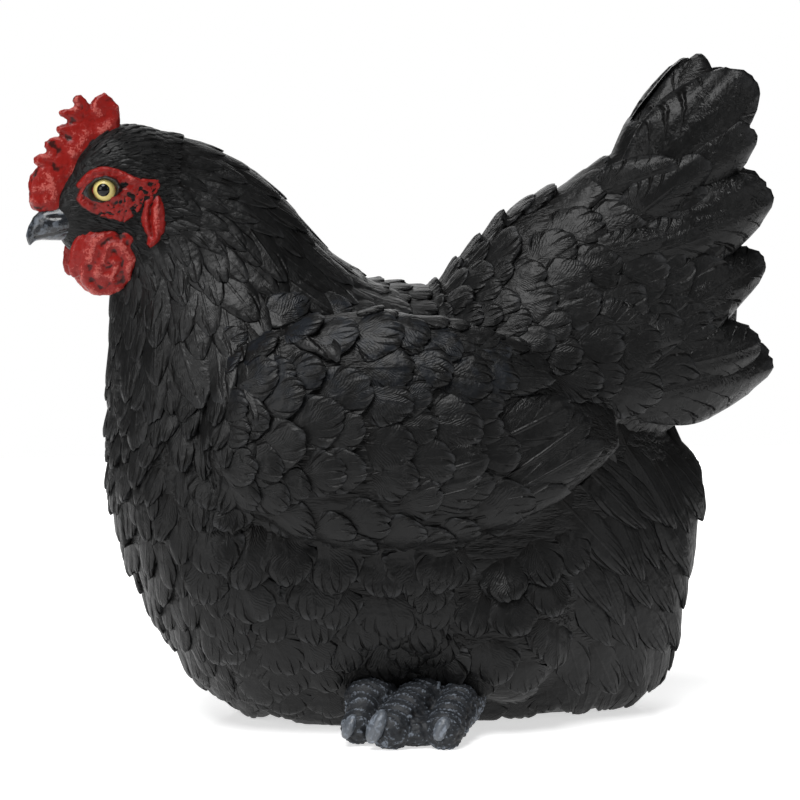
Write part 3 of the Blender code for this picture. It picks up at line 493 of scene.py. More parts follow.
def readPoints(mesh, what="position"):
    values = np.empty(len(mesh.vertices) * 3, np.float32)
    if what == "position":
        mesh.vertices.foreach_get("co", values)
    else:
        mesh.vertex_normals.foreach_get("vector", values)
    return values.reshape(-1, 3).astype(float)


def writePoints(mesh, points):
    mesh.vertices.foreach_set("co", np.asarray(points, np.float32).ravel())
    mesh.update()


def addAttribute(mesh, name, kind, values):
    key = "vector" if kind == "FLOAT_VECTOR" else "value"
    values = np.asarray(values, np.int32 if kind == "INT" else np.float32).ravel()
    mesh.attributes.new(name, kind, "POINT").data.foreach_set(key, values)


# Vertex vectors averaged with those of their neighbours
def evened(mesh, values, rounds):
    ends = np.empty(len(mesh.edges) * 2, np.int32)
    mesh.edges.foreach_get("vertices", ends)
    first, last = ends.reshape(-1, 2).T
    count = np.bincount(ends, minlength=len(values))[:, None] + 1.0
    for _ in range(rounds):
        total = values.copy()
        np.add.at(total, first, values[last])
        np.add.at(total, last, values[first])
        values = total / count
    return values / np.linalg.norm(values, axis=1, keepdims=True)


def buildCore():
    shapes = [loft([eggRing(*ring) for ring in rings]) for rings in (trunkRings, neckRings, tailRings)]
    shapes += [ball(place(*centre), place(*half)) for centre, half in (headBall, faceBall)]
    for (x, y, z), half in (thighBall, shoulderBall):
        shapes += [ball(place(x, side * y, z), place(*half)) for side in (1, -1)]
    shapes += [wingSlab(side) for side in (1, -1)]
    mesh = remeshed(joined(shapes), figure["coreCell"], 9)
    points, normals = readPoints(mesh), readPoints(mesh, "normal")
    onHead = smoothStep(200, 245, points[:, 2] / stepZ) * smoothStep(-70, -110, points[:, 0] / stepX)
    writePoints(mesh, points + normals * (figure["plump"] * (1 - onHead))[:, None])
    addAttribute(mesh, "coreNormal", "FLOAT_VECTOR", evened(mesh, normals, 5))
    return mesh


# Rays start this far outside the point they look for
castReach = {"outside": 0.8, "neck": 0.13}

coreMesh = buildCore()
core = makeObject("coreGuide", coreMesh)
coreCorners, coreFaces = [v.co for v in coreMesh.vertices], [f.vertices[:] for f in coreMesh.polygons]
coreTree = BVHTree.FromPolygons(coreCorners, coreFaces)
print("core", len(coreMesh.polygons), "faces")


# Look-ups on the core; all regions are laid out on the left side and mirrored
def seenAlong(point, direction, reach=castReach["outside"]):
    start = point - direction.normalized() * reach
    hit, normal, _, _ = coreTree.ray_cast(start, direction)
    if hit is None:
        hit, normal, _, _ = coreTree.find_nearest(point)
    return hit, normal


def fromSide(x, z):
    return seenAlong(place(x, 0, z), Vector((0, 1, 0)))


def aroundAxis(axisX, turn, z):
    return seenAlong(place(axisX, 0, z), Vector((math.cos(turn), math.sin(turn), 0)))


def overAxis(x, roll, axisZ):
    return seenAlong(place(x, 0, axisZ), Vector((0, math.sin(roll), -math.cos(roll))))


def neckPoint(along, roll):
    last = len(neckRings) - 3
    position = min(max(along, 0.0), 1.0) * last
    index = min(int(position), last - 1)
    share = position - index
    near, far = neckRings[index], neckRings[index + 1]
    top = [blend(a, b, share) for a, b in zip(near[0], far[0])]
    bottom = [blend(a, b, share) for a, b in zip(near[1], far[1])]
    middle = place((top[0] + bottom[0]) / 2, 0, (top[1] + bottom[1]) / 2)
    nape = (place(top[0], 0, top[1]) - middle).normalized()
    outward = nape * math.cos(roll) + Vector((0, -math.sin(roll), 0))
    return seenAlong(middle, -outward, castReach["neck"])


# A side-view point of a net of control rows, read smoothly along and across
def netPoint(net, across, along):
    def read(row, share):
        position = min(max(share, 0.0), 1.0) * (len(row) - 1)
        index = min(int(position), len(row) - 2)
        low, high = row[max(index - 1, 0)], row[min(index + 2, len(row) - 1)]
        a, b, t = row[index], row[index + 1], position - index
        slopeA = [(v - w) / 2 for v, w in zip(b, low)]
        slopeB = [(v - w) / 2 for v, w in zip(high, a)]
        t2, t3 = t * t, t * t * t
        return [
            (2 * t3 - 3 * t2 + 1) * p + (t3 - 2 * t2 + t) * s + (3 * t2 - 2 * t3) * q + (t3 - t2) * r
            for p, q, s, r in zip(a, b, slopeA, slopeB)
        ]

    return read([read(row, across) for row in net], along)


nets = {
    "wing": (
        ((-99, 190), (-104, 170), (-103, 152), (-97, 131)), ((-82, 198), (-84, 169), (-82, 144), (-76, 114)),
        ((-62, 207), (-59, 172), (-58, 138), (-51, 101)), ((-31, 207), (-30, 174), (-29, 139), (-21, 96)),
        ((1, 200), (1, 169), (1, 137), (6, 98)), ((30, 190), (28, 164), (28, 139), (35, 106)),
    ),
    "flank": (
        ((-101, 135), (-77, 115), (-46, 103), (-12, 97), (12, 99)),
        ((-106, 102), (-80, 84), (-49, 74), (-20, 71), (0, 75)),
        ((-102, 68), (-75, 52), (-46, 47), (-22, 46), (-7, 51)),
        ((-87, 38), (-66, 28), (-44, 25), (-26, 24), (-15, 26)),
        ((-76, 14), (-60, 8), (-44, 6), (-26, 6), (-12, 7)),
    ),
    "thigh": (
        ((7, 97), (36, 97), (65, 103)), ((2, 71), (36, 70), (73, 74)), ((-1, 46), (31, 41), (66, 40)),
        ((7, 24), (36, 20), (66, 18)), ((7, 6), (36, 5), (66, 5)),
    ),
    "covert": (
        ((7, 220), (12, 208), (17, 195), (27, 185)), ((30, 239), (42, 217), (52, 197), (62, 178)),
        ((52, 259), (74, 229), (87, 202), (92, 170)), ((77, 271), (102, 239), (117, 207), (123, 167)),
        ((98, 281), (124, 251), (142, 216), (143, 169)),
    ),
}

# Lengths, widths and lifts are in millimetres, as first and last row
everyRegion = {"sweep": 0.0, "centred": False, "loose": 1.0, "unlike": 0.10, "around": 1000}
regions = {
    "breastFeathers": {
        "at": "breast", "rows": 13, "columns": (9, 10),
        "length": (29, 29), "width": (14, 15), "lift": (4.0, 4.4),
        "shape": "pointed", "look": "breast", "centred": True, "loose": 3.0, "unlike": 0.22,
    },
    "flankFeathers": {
        "at": "flank", "rows": 7, "columns": (6, 5),
        "length": (34, 30), "width": (29, 26), "lift": (5.6, 5.0),
        "sweep": 18, "shape": "round", "look": "scallop", "loose": 2.6, "unlike": 0.16,
    },
    "thighFeathers": {
        "at": "thigh", "rows": 6, "columns": (4, 3),
        "length": (30, 26), "width": (26, 24), "lift": (5.2, 4.6),
        "sweep": 12, "shape": "round", "look": "scallop", "loose": 2.6, "unlike": 0.16,
    },
    "rearWisps": {
        "at": "rear", "rows": 6, "columns": (7, 6),
        "length": (66, 52), "width": (22, 22), "lift": (5.4, 4.6),
        "sweep": 34, "shape": "lock", "look": "wisp", "centred": True, "loose": 2.0, "unlike": 0.16,
    },
    "backFeathers": {
        "at": "back", "rows": 8, "columns": (6, 7),
        "length": (22, 24), "width": (15, 17), "lift": (3.2, 3.8),
        "shape": "round", "look": "scallop", "centred": True,
    },
    "headFeathers": {
        "at": "head", "rows": 13, "columns": (13, 20),
        "length": (10, 16), "width": (2.8, 4.4), "lift": (0.9, 1.2),
        "shape": "strand", "look": "hackle", "centred": True, "around": 60,
    },
    "neckHackles": {
        "at": "neck", "rows": 8, "columns": (11, 9),
        "length": (28, 62), "width": (7, 24), "lift": (1.3, 3.6),
        "shape": "strand", "look": "hackle", "centred": True, "loose": 2.0, "unlike": 0.18,
    },
    "wingCoverts": {
        "at": "wing", "rows": 9, "columns": (5, 6),
        "length": (30, 34), "width": (22, 26), "lift": (4.8, 5.0),
        "sweep": 10, "shape": "round", "look": "blueScallop", "loose": 2.2, "unlike": 0.18,
    },
    "tailCoverts": {
        "at": "covert", "rows": 8, "columns": (6, 5),
        "length": (24, 54), "width": (18, 42), "lift": (4.4, 6.0),
        "shape": "round", "look": "scallop", "loose": 1.6, "unlike": 0.14,
    },
}


# Turns and rolls are in degrees; lengths and heights are on the grid
layouts = {
    "head": {"turn": (38, 128), "roll": 170},
    "breast": {"axis": -72, "turn": 78, "height": (180, 6)},
    "rear": {"axis": 62, "turn": 78, "height": (138, 6)},
    "back": {"length": (-36, 46), "roll": (46, 72), "height": 150},
    "neck": {"start": (0.12, 0.34), "end": 0.98, "roll": 176},
}


# Skin of the head, turned back from the beak and rolled from crown to throat
def headPoint(turn, roll):
    inward = Vector((math.cos(turn), math.sin(turn) * math.sin(roll), -math.sin(turn) * math.cos(roll)))
    return seenAlong(place(*headBall[0]), inward)


def locate(kind, across, along):
    plan = layouts.get(kind)
    if kind == "head":
        return headPoint(math.radians(blend(*plan["turn"], along)), math.radians(across * plan["roll"]))
    if kind == "breast":
        return aroundAxis(plan["axis"], math.radians(across * plan["turn"]), blend(*plan["height"], along))
    if kind == "rear":
        turn = math.radians(180 - across * plan["turn"])
        return aroundAxis(plan["axis"], turn, blend(*plan["height"], along))
    if kind == "back":
        roll = across * blend(*plan["roll"], smoothStep(0.0, 0.6, along))
        return overAxis(blend(*plan["length"], along), math.radians(roll), plan["height"])
    if kind == "neck":
        start = blend(*plan["start"], float(smoothStep(0.25, 0.60, across)))
        return neckPoint(blend(start, plan["end"], along), math.radians(across * plan["roll"]))
    return fromSide(*netPoint(nets[kind], across, along))


variety = {"seed": 7, "tilt": 7.0, "slip": 0.12, "lift": (0.85, 1.25), "variants": 6}
lookAhead = 0.04


def guide(side, point, normal, way, size, tint, variant):
    flip = Vector((1, side, 1))
    return point * flip, normal * flip, way * flip, size, tint, variant


# Guide feathers in staggered rows over one region, each lying along its row's run
def growRows(plan):
    hand = random.Random(variety["seed"])
    found = []
    rows, loose = plan["rows"], variety["slip"] * plan["loose"]
    for row in range(rows):
        along = (row + 0.5) / rows
        places = round(blend(*plan["columns"], along))
        staggered = row % 2
        for column in range(places + 1 - staggered):
            middle = plan["centred"] and column == 0 and not staggered
            slip = 0.0 if middle else hand.uniform(-1, 1) * loose
            across = (column + 0.5 * staggered + slip) / places
            spot = along + hand.uniform(-1, 1) * loose / rows
            point, normal = locate(plan["at"], across, spot)
            if (point - place(*headBall[0])).length > plan["around"] * mm:
                continue
            way = locate(plan["at"], across, spot + lookAhead)[0] - point
            way -= normal * way.dot(normal)
            if way.length < 1e-6:
                continue
            tilt = 0.0
            if not middle:
                tilt = plan["sweep"] * min(across * 1.6, 1.0)
                tilt += hand.uniform(-1, 1) * variety["tilt"] * plan["loose"]
            way = Matrix.Rotation(math.radians(tilt), 3, normal) @ way.normalized()
            spread = hand.uniform(1 - plan["unlike"], 1 + plan["unlike"])
            size = [blend(*plan[key], along) * mm * spread for key in ("width", "length", "lift")]
            size[2] *= hand.uniform(*variety["lift"])
            for side in (1,) if middle else (1, -1):
                tint, variant = hand.random(), hand.randrange(variety["variants"])
                found.append(guide(side, point, normal, way, size, tint, variant))
    return found


guideLayers = (
    ("featherNormal", "FLOAT_VECTOR"), ("featherWay", "FLOAT_VECTOR"), ("featherSize", "FLOAT_VECTOR"),
    ("tint", "FLOAT"), ("variant", "INT"),
)


def guideMesh(found):
    mesh = bpy.data.meshes.new("guides")
    mesh.from_pydata([item[0] for item in found], [], [])
    for index, (name, kind) in enumerate(guideLayers):
        addAttribute(mesh, name, kind, [item[index + 1] for item in found])
    return mesh


# Feather templates: a carved scale with a shaft, split rim and sides that reach into the layer below
featherShapes = {
    "round": {
        "columns": 14, "along": (0, 0.34, 0.60, 0.79, 0.90, 0.97, 1.0),
        "wide": (0.60, 0.88, 1.02, 1.06, 1.04, 0.98, 0.92),
        "tip": 0.30, "power": 2.6, "crown": 0.60, "splits": 2, "splitReach": 0.03, "root": 0.42,
    },
    "pointed": {
        "columns": 12, "along": (0, 0.30, 0.56, 0.76, 0.89, 0.96, 1.0),
        "wide": (0.66, 0.98, 1.06, 1.02, 0.92, 0.82, 0.72),
        "tip": 0.26, "power": 2.2, "crown": 0.68, "splits": 1, "splitReach": 0.04, "root": 0.42,
    },
    "strand": {
        "columns": 10, "along": (0, 0.25, 0.50, 0.74, 0.88, 0.96, 1.0),
        "wide": (0.72, 0.98, 1.06, 1.02, 0.90, 0.78, 0.66),
        "tip": 0.16, "power": 2.0, "crown": 0.62, "splits": 0, "splitReach": 0.02, "root": 0.42,
    },
    "blade": {
        "columns": 14, "along": (0, 0.18, 0.36, 0.52, 0.66, 0.78, 0.88, 0.95, 1.0),
        "wide": (0.55, 0.78, 0.92, 1.0, 1.0, 0.97, 0.90, 0.80, 0.66),
        "tip": 0.14, "power": 2.4, "crown": 0.55, "splits": 1, "splitReach": 0.02, "root": 0.42,
    },
    "lock": {
        "columns": 12, "along": (0, 0.25, 0.50, 0.74, 0.88, 0.96, 1.0),
        "wide": (0.70, 0.96, 1.0, 0.90, 0.74, 0.60, 0.46),
        "tip": 0.14, "power": 2.0, "crown": 0.66, "splits": 2, "splitReach": 0.06, "root": 0.42, "curl": 0.16,
    },
}


def startTemplate():
    shape = bmesh.new()
    return shape, shape.loops.layers.uv.new("featherUv"), shape.verts.layers.float.new("rise")


def stripFaces(shape, row, after, closed=False):
    for step in range(len(row) - (0 if closed else 1)):
        beside = (step + 1) % len(row)
        shape.faces.new((row[step], row[beside], after[beside], after[step]))


def rimOf(rows):
    return [row[0] for row in rows] + rows[-1][1:-1] + [row[-1] for row in reversed(rows)] + rows[0][-2:0:-1]


def endTemplate(name, shape, uvLayer, places):
    bmesh.ops.recalc_face_normals(shape, faces=shape.faces)
    for face in shape.faces:
        for loop in face.loops:
            loop[uvLayer].uv = places[loop.vert]
    mesh = bpy.data.meshes.new(name)
    shape.to_mesh(mesh)
    shape.free()
    return bpy.data.objects.new(name, mesh)


# A carved scale one unit long and wide; its rise is kept apart, for the moulding
def featherTemplate(name, plan, seed):
    hand = random.Random(seed)
    columns = plan["columns"]
    notches = hand.sample(range(1, columns), plan["splits"])
    ragged = []
    for step in range(columns + 1):
        plain = hand.uniform(0.0, 0.035)
        ragged.append(plain + (plan["splitReach"] * hand.uniform(0.7, 1.2) if step in notches else 0.0))
    lean = hand.uniform(-0.05, 0.05) + plan.get("curl", 0.0) * math.sin(seed)
    shape, uvLayer, riseLayer = startTemplate()
    rows, places = [], {}

    def addPoint(x, y, z, u, v):
        vert = shape.verts.new((x, y, 0))
        vert[riseLayer] = z
        places[vert] = (u, v)
        return vert

    for along, wide in zip(plan["along"], plan["wide"]):
        row = []
        for step in range(columns + 1):
            across = 2 * step / columns - 1
            reach = 1 - plan["tip"] * abs(across) ** plan["power"] - ragged[step] * along ** 6
            y = along * reach - plan["root"]
            x = 0.5 * wide * across + lean * along * along
            z = -0.30 + 1.30 * along ** 1.15 - plan["crown"] * abs(across) ** 2.8 * (0.35 + 0.65 * along)
            z += 0.06 * math.exp(-((across / 0.12) ** 2)) * (1 - along) - 0.30 * along ** 14
            z -= 0.22 * (step in notches) * along ** 3
            row.append(addPoint(x, y, z, (across + 1) / 2, along))
        rows.append(row)
    for row, after in zip(rows, rows[1:]):
        stripFaces(shape, row, after)
    rim, lower = rimOf(rows), []
    for vert in rim:
        u, v = places[vert]
        lower.append(addPoint(vert.co.x * 0.94, vert.co.y - 0.03 * v, vert[riseLayer] - 0.85, u, v))
    stripFaces(shape, rim, lower, closed=True)
    shape.faces.new(lower)
    return endTemplate(name, shape, uvLayer, places)


quillShape = {
    "columns": 18, "rows": 16, "tip": 0.34, "power": 2.8, "splits": 3, "splitReach": 0.014, "thick": 0.08,
}


# A long stiff feather with both faces carved; its rise is a share of its width
def quillTemplate(name, seed):
    hand = random.Random(seed)
    columns, count = quillShape["columns"], quillShape["rows"]
    notches = hand.sample(range(2, columns - 1), quillShape["splits"])
    ragged = []
    for step in range(columns + 1):
        plain = hand.uniform(0, 0.008)
        ragged.append(plain + (quillShape["splitReach"] * hand.uniform(0.6, 1.2) if step in notches else 0))
    shape, uvLayer, riseLayer = startTemplate()
    places, sheets = {}, []
    for under in (0, 1):
        rows = []
        for index in range(count + 1):
            along = 1 - (1 - index / count) ** 1.35
            wide = 0.50 + 0.50 * math.sin(min(along / 0.66, 1.0) * math.pi / 2)
            wide -= 0.10 * max(along - 0.70, 0) ** 2 / 0.09
            row = []
            for step in range(columns + 1):
                across = 2 * step / columns - 1
                bend = abs(across) ** quillShape["power"]
                y = along * (1 - quillShape["tip"] * bend - ragged[step] * along ** 8)
                z = 0.16 * math.sin(math.pi * along) - 0.20 * across * across
                z += 0.02 * math.exp(-((across / 0.09) ** 2)) * (1 - along)
                z -= 0.035 * (step in notches) * along ** 2 + 0.012 * math.sin(step * 2.1 + seed) * along
                z -= under * quillShape["thick"] * (1 - 0.5 * abs(across) ** 3)
                vert = shape.verts.new((0.5 * wide * across, y, 0))
                vert[riseLayer] = z
                places[vert] = ((across + 1) / 2, along)
                row.append(vert)
            rows.append(row)
        sheets.append(rows)
    for rows in sheets:
        for row, after in zip(rows, rows[1:]):
            stripFaces(shape, row, after)
    stripFaces(shape, rimOf(sheets[0]), rimOf(sheets[1]), closed=True)
    return endTemplate(name, shape, uvLayer, places)


def templateSet(kind):
    made = bpy.data.collections.new(kind + "Templates")
    for index in range(variety["variants"]):
        name = f"{kind}{index}"
        if kind == "quill":
            made.objects.link(quillTemplate(name, index))
        else:
            made.objects.link(featherTemplate(name, featherShapes[kind], index * 17 + 3))
    return made


templates = {kind: templateSet(kind) for kind in (*featherShapes, "quill")}
print("templates", len(templates))

# A feather whose seat turns further than this from the skin stands free of it
moulding = {"free": 0.0, "moulded": 0.25}


# Stands a template on every guide point and moulds it on the core
def coatTree():
    tree = bpy.data.node_groups.new("featherCoat", "GeometryNodeTree")
    for label, kind in (
        ("Geometry", "NodeSocketGeometry"), ("Templates", "NodeSocketCollection"),
        ("Core", "NodeSocketObject"), ("Mould", floatKind), ("Length Scale", floatKind),
        ("Width Scale", floatKind), ("Lift Scale", floatKind), ("Finish", "NodeSocketMaterial"),
    ):
        tree.interface.new_socket(label, in_out="INPUT", socket_type=kind)
    tree.interface.new_socket("Geometry", in_out="OUTPUT", socket_type="NodeSocketGeometry")
    given = addNode(tree, "NodeGroupInput").outputs
    end = addNode(tree, "NodeGroupOutput")

    def named(name, kind="FLOAT_VECTOR"):
        return addNode(tree, "GeometryNodeInputNamedAttribute", {"Name": name}, data_type=kind).outputs[0]

    def vector(operation, *values):
        sockets = dict(enumerate(values))
        return addNode(tree, "ShaderNodeVectorMath", sockets, operation=operation).outputs

    def triple(x, y, z):
        return addNode(tree, "ShaderNodeCombineXYZ", {0: x, 1: y, 2: z}).outputs[0]

    def onCore(value):
        sockets = {"Mesh": surface, "Value": value, "Sample Position": spot}
        return addNode(tree, "GeometryNodeSampleNearestSurface", sockets, data_type="FLOAT_VECTOR").outputs[0]

    # Guides: size, turn and template of each feather
    scales = triple(given["Width Scale"], given["Length Scale"], given["Lift Scale"])
    size = vector("MULTIPLY", named("featherSize"), scales)[0]
    stored = {"Geometry": given["Geometry"], "Name": "fullSize", "Value": size}
    sized = addNode(
        tree, "GeometryNodeStoreNamedAttribute", stored, data_type="FLOAT_VECTOR", domain="POINT",
    ).outputs[0]
    normal = named("featherNormal")
    turn = addNode(
        tree, "FunctionNodeAxesToRotation", {"Primary Axis": normal, "Secondary Axis": named("featherWay")},
        primary_axis="Z", secondary_axis="Y",
    ).outputs[0]
    choice = {"Collection": given["Templates"], "Separate Children": True, "Reset Children": True}
    shapes = addNode(tree, "GeometryNodeCollectionInfo", choice).outputs[0]
    standing = {
        "Points": sized, "Instance": shapes, "Pick Instance": True, "Instance Index": named("variant", "INT"),
        "Rotation": turn, "Scale": named("fullSize"),
    }
    stood = addNode(tree, "GeometryNodeInstanceOnPoints", standing).outputs[0]
    real = addNode(tree, "GeometryNodeRealizeInstances", {"Geometry": stood}).outputs[0]

    # Moulding: each point goes to its seat on the core, and rises from there
    spot = addNode(tree, "GeometryNodeInputPosition").outputs[0]
    lift = addNode(tree, "ShaderNodeSeparateXYZ", {0: named("fullSize")}).outputs[2]
    rise = calc(tree, "MULTIPLY", named("rise", "FLOAT"), lift)
    surface = addNode(tree, "GeometryNodeObjectInfo", {"Object": given["Core"]}).outputs["Geometry"]
    outward = vector("NORMALIZE", onCore(named("coreNormal")))[0]
    rises = triple(rise, rise, rise)
    moulded = vector("MULTIPLY_ADD", outward, rises, onCore(spot))[0]
    free = vector("MULTIPLY_ADD", normal, rises, spot)[0]
    facing = vector("DOT_PRODUCT", outward, normal)["Value"]
    facing = span(tree, facing, moulding["free"], moulding["moulded"])
    chosen = {0: calc(tree, "MULTIPLY", given["Mould"], facing), 4: free, 5: moulded}
    chosen = addNode(tree, "ShaderNodeMix", chosen, data_type="VECTOR").outputs[1]
    seated = addNode(tree, "GeometryNodeSetPosition", {"Geometry": real, "Position": chosen}).outputs[0]
    whole = addNode(tree, "GeometryNodeRealizeInstances", {"Geometry": seated}).outputs[0]
    finish = {"Geometry": whole, "Material": given["Finish"]}
    feed(tree, end.inputs[0], addNode(tree, "GeometryNodeSetMaterial", finish).outputs[0])
    return tree


coat = coatTree()
coatScale = {"Length Scale": 1.0, "Width Scale": 1.0, "Lift Scale": 1.0}
helperLayers = ("featherNormal", "featherWay", "featherSize", "fullSize", "variant", "rise", "coreNormal")
belowBase = 0.02


# A finished piece: cast place, nothing below the base, smooth shading, riding on the body
def finishPiece(name, mesh, sharp=48.0):
    points = settle(readPoints(mesh))
    points[:, 2] = np.where(points[:, 2] < 0, points[:, 2] * belowBase, points[:, 2])
    writePoints(mesh, points)
    for layer in list(mesh.attributes):
        if layer.name in helperLayers:
            mesh.attributes.remove(layer)
    mesh.shade_smooth()
    mesh.set_sharp_from_angle(angle=math.radians(sharp))
    mesh.name = name
    piece = makeObject(name, mesh)
    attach(piece, "root")
    return piece


def coatPiece(name, found, kind, look, mould=1.0):
    guides = makeObject(name + "Guides", guideMesh(found))
    grow = guides.modifiers.new("grow", "NODES")
    grow.node_group = coat
    values = {"Templates": templates[kind], "Core": core, "Mould": mould, "Finish": looks[look], **coatScale}
    for item in coat.interface.items_tree:
        if item.item_type == "SOCKET" and item.in_out == "INPUT" and item.name in values:
            grow[item.identifier] = values[item.name]
    mesh = evaluated(guides)
    bpy.data.objects.remove(guides, do_unlink=True)
    finishPiece(name, mesh, sharp=72.0)
    print(name, len(found), "feathers", len(mesh.polygons), "faces")


for regionName, region in regions.items():
    plan = {**everyRegion, **region}
    coatPiece(regionName, growRows(plan), plan["shape"], plan["look"])


# Flight feathers lie on the wing: root and tip (x, z), width. Each lies over the one before.
flightFeathers = (
    ((2, 106), (71, 123), 22), ((14, 110), (90, 147), 22), ((21, 121), (84, 158), 22),
    ((-15, 118), (32, 129), 22), ((14, 141), (74, 163), 27), ((-13, 130), (28, 140), 25),
    ((0, 179), (64, 174), 18),
)
flight = {"lift": 4.4, "step": 0.5}

# Tail quills: root on the skin (x, z), or in the middle of the tail (x, depth, z); tip (x, depth, z); width
tailQuills = (
    ((126, 250), (185, -4, 266), 44), ((108, 164), (188, -14, 179), 44),
    ((114, 260), (175, -16, 322), 49), ((124, 200), (182, -16, 231), 36),
    ((126, 178), (179, -24, 189), 36), ((122, 236), (184, -22, 265), 43),
    ((118, 258), (175, -22, 295), 36), ((108, 156), (150, -32, 182), 28),
    ((112, 232), (158, -30, 247), 30), ((110, -0.4, 262), (148, -0.4, 330), 27),
    ((111, -4.5, 261), (148, -1.4, 330), 27), ((114, 258), (148, -2.5, 329), 28),
    ((104, 246), (150, -30, 280), 28), ((104, 190), (142, -38, 197), 28),
    ((90, 262), (134, -32, 277), 23), ((86, 232), (128, -36, 242), 20), ((84, 200), (122, -44, 202), 25),
)
quillSink = 0.0012


def flightGuides():
    hand = random.Random(variety["seed"])
    found = []
    for index, (root, tip, width) in enumerate(flightFeathers):
        way = fromSide(*tip)[0] - fromSide(*root)[0]
        seat = [blend(first, last, featherShapes["blade"]["root"]) for first, last in zip(root, tip)]
        point, normal = fromSide(*seat)
        size = (width * mm, way.length, (flight["lift"] + index * flight["step"]) * mm)
        way = (way - normal * way.dot(normal)).normalized()
        tint, variant = hand.random(), hand.randrange(variety["variants"])
        found += [guide(side, point, normal, way, size, tint, variant) for side in (1, -1)]
    return found


def quillGuides():
    hand = random.Random(variety["seed"])
    found = []
    for root, tip, width in tailQuills:
        if len(root) == 3:
            start = place(*root)
        else:
            start, normal = fromSide(*root)
            start = start - normal * quillSink
        axis = place(*tip) - start
        size = (width * mm, axis.length, width * mm)
        axis.normalize()
        outward = Vector((0, -1, 0))
        outward = (outward - axis * outward.dot(axis)).normalized()
        tint, variant = hand.random(), hand.randrange(variety["variants"])
        found += [guide(side, start, outward, axis, size, tint, variant) for side in (1, -1)]
    return found


coatPiece("flightFeathers", flightGuides(), "blade", "blade")
coatPiece("tailFeathers", quillGuides(), "quill", "quill", mould=0.0)
# Body: the core itself, seen between the feathers
bodyMesh = coreMesh.copy()
# The body's grooves are darkened with painted shade
bodyPaint = {"Base": paint["black"], "Recess": paint["recess"]}
bodyMesh.materials.append(groupMaterial("coreLook", grooved, bodyPaint, 0.0005, featherFinish["shine"]))
bodyCore = finishPiece("bodyCore", bodyMesh)
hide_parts("hen")
# Head: relief patches of bare skin, comb, wattles, eyes and beak
combOutline = (
    (-182, 257), (-185, 257), (-187, 262), (-188, 268), (-187, 273), (-184.5, 276.6), (-181.6, 277.8),
    (-184.6, 279), (-184.8, 282), (-182.2, 284), (-177.6, 284.6), (-180.0, 287), (-179.8, 290.2),
    (-176.8, 291.8), (-170.2, 292.2), (-173.6, 294.6), (-173.4, 297.4), (-170.6, 298.8), (-166.8, 299.2),
    (-171.8, 301.8), (-172.2, 304.4), (-169.6, 306), (-163.8, 306.6), (-166.4, 309.6), (-164.6, 312.6),
    (-161, 313), (-158.2, 310.8), (-156.8, 307), (-154.4, 311.8), (-150, 313.8), (-145, 311.2),
    (-142.5, 307), (-142.5, 301), (-143.5, 295), (-146, 286), (-156, 278), (-165, 270), (-170, 260),
    (-174, 254),
)
facePatch = (
    (-167, 262), (-165.3, 265.8), (-166.7, 268.7), (-164.2, 272.5), (-160.3, 276.4), (-154.3, 278.7),
    (-148.4, 277.7), (-143, 275.7), (-139.6, 273.5), (-131.7, 272.3), (-127, 272.2), (-125.4, 268),
    (-128, 264), (-133.2, 262), (-136.0, 256), (-139.8, 252.5), (-143.2, 249.6), (-147.7, 251.1),
    (-154.1, 252.6), (-159.5, 255.1), (-164.4, 258.1),
)
lidOutline = (
    (-164.3, 264.5), (-161.3, 269), (-157.3, 272.8), (-152.4, 274), (-147.5, 272), (-145, 268.5),
    (-146.6, 264.6), (-150.6, 261), (-154.5, 259.9), (-159, 261),
)
lobeOutline = (
    (-135.2, 261.6), (-131.7, 265), (-127.7, 266.4), (-125, 262), (-123.8, 257.6), (-123.8, 251),
    (-124.3, 245.9), (-126.2, 242), (-129, 238.6), (-131.4, 237.2), (-133.6, 239.7), (-133.2, 244.1),
    (-135.8, 248), (-136.8, 253),
)
lobeCrease = ((-129, 264), (-131.8, 257.7), (-131.3, 250.9), (-129.8, 244))
eye = {
    "at": (-153.6, 266.8), "radius": 0.0064, "sunk": 0.40, "pupil": 0.0034, "pupilOut": 0.72,
    "pupilFlat": 0.75,
}


# Distance of side-view points to an open line
def segmentDistance(points, line):
    best = np.full(len(points), 1e9)
    for a, b in zip(line, line[1:]):
        a, b = np.array(a, float), np.array(b, float)
        share = np.clip(((points - a) @ (b - a)) / ((b - a) @ (b - a)), 0, 1)
        best = np.minimum(best, np.linalg.norm(points - a - share[:, None] * (b - a), axis=1))
    return best


# Distance to a closed outline, above zero inside it
def insideDistance(points, outline):
    closed = list(outline) + [outline[0]]
    inside = np.zeros(len(points), bool)
    for (ax, az), (bx, bz) in zip(closed, closed[1:]):
        crosses = (az > points[:, 1]) != (bz > points[:, 1])
        with np.errstate(divide="ignore", invalid="ignore"):
            inside ^= crosses & (points[:, 0] < (bx - ax) * (points[:, 1] - az) / (bz - az) + ax)
    return np.where(inside, 1, -1) * segmentDistance(points, closed)


roughening = (0.9, 2.1, 3)


def fractal(points, scale, seed=0.0):
    places = [Vector((x * scale + seed, 0.37 * seed, z * scale)) for x, z in points]
    return np.array([noise.fractal(spot, *roughening) for spot in places])


# The left piece and its mirror image as one mesh
def mirroredPair(mesh):
    pair = bmesh.new()
    pair.from_mesh(mesh)
    other = pair.copy()
    other.transform(Matrix.Diagonal((1, -1, 1, 1)))
    bmesh.ops.reverse_faces(other, faces=other.faces)
    second = bpy.data.meshes.new("mirror")
    other.to_mesh(second)
    pair.from_mesh(second)
    pair.to_mesh(mesh)
    bpy.data.meshes.remove(second)
    return mesh


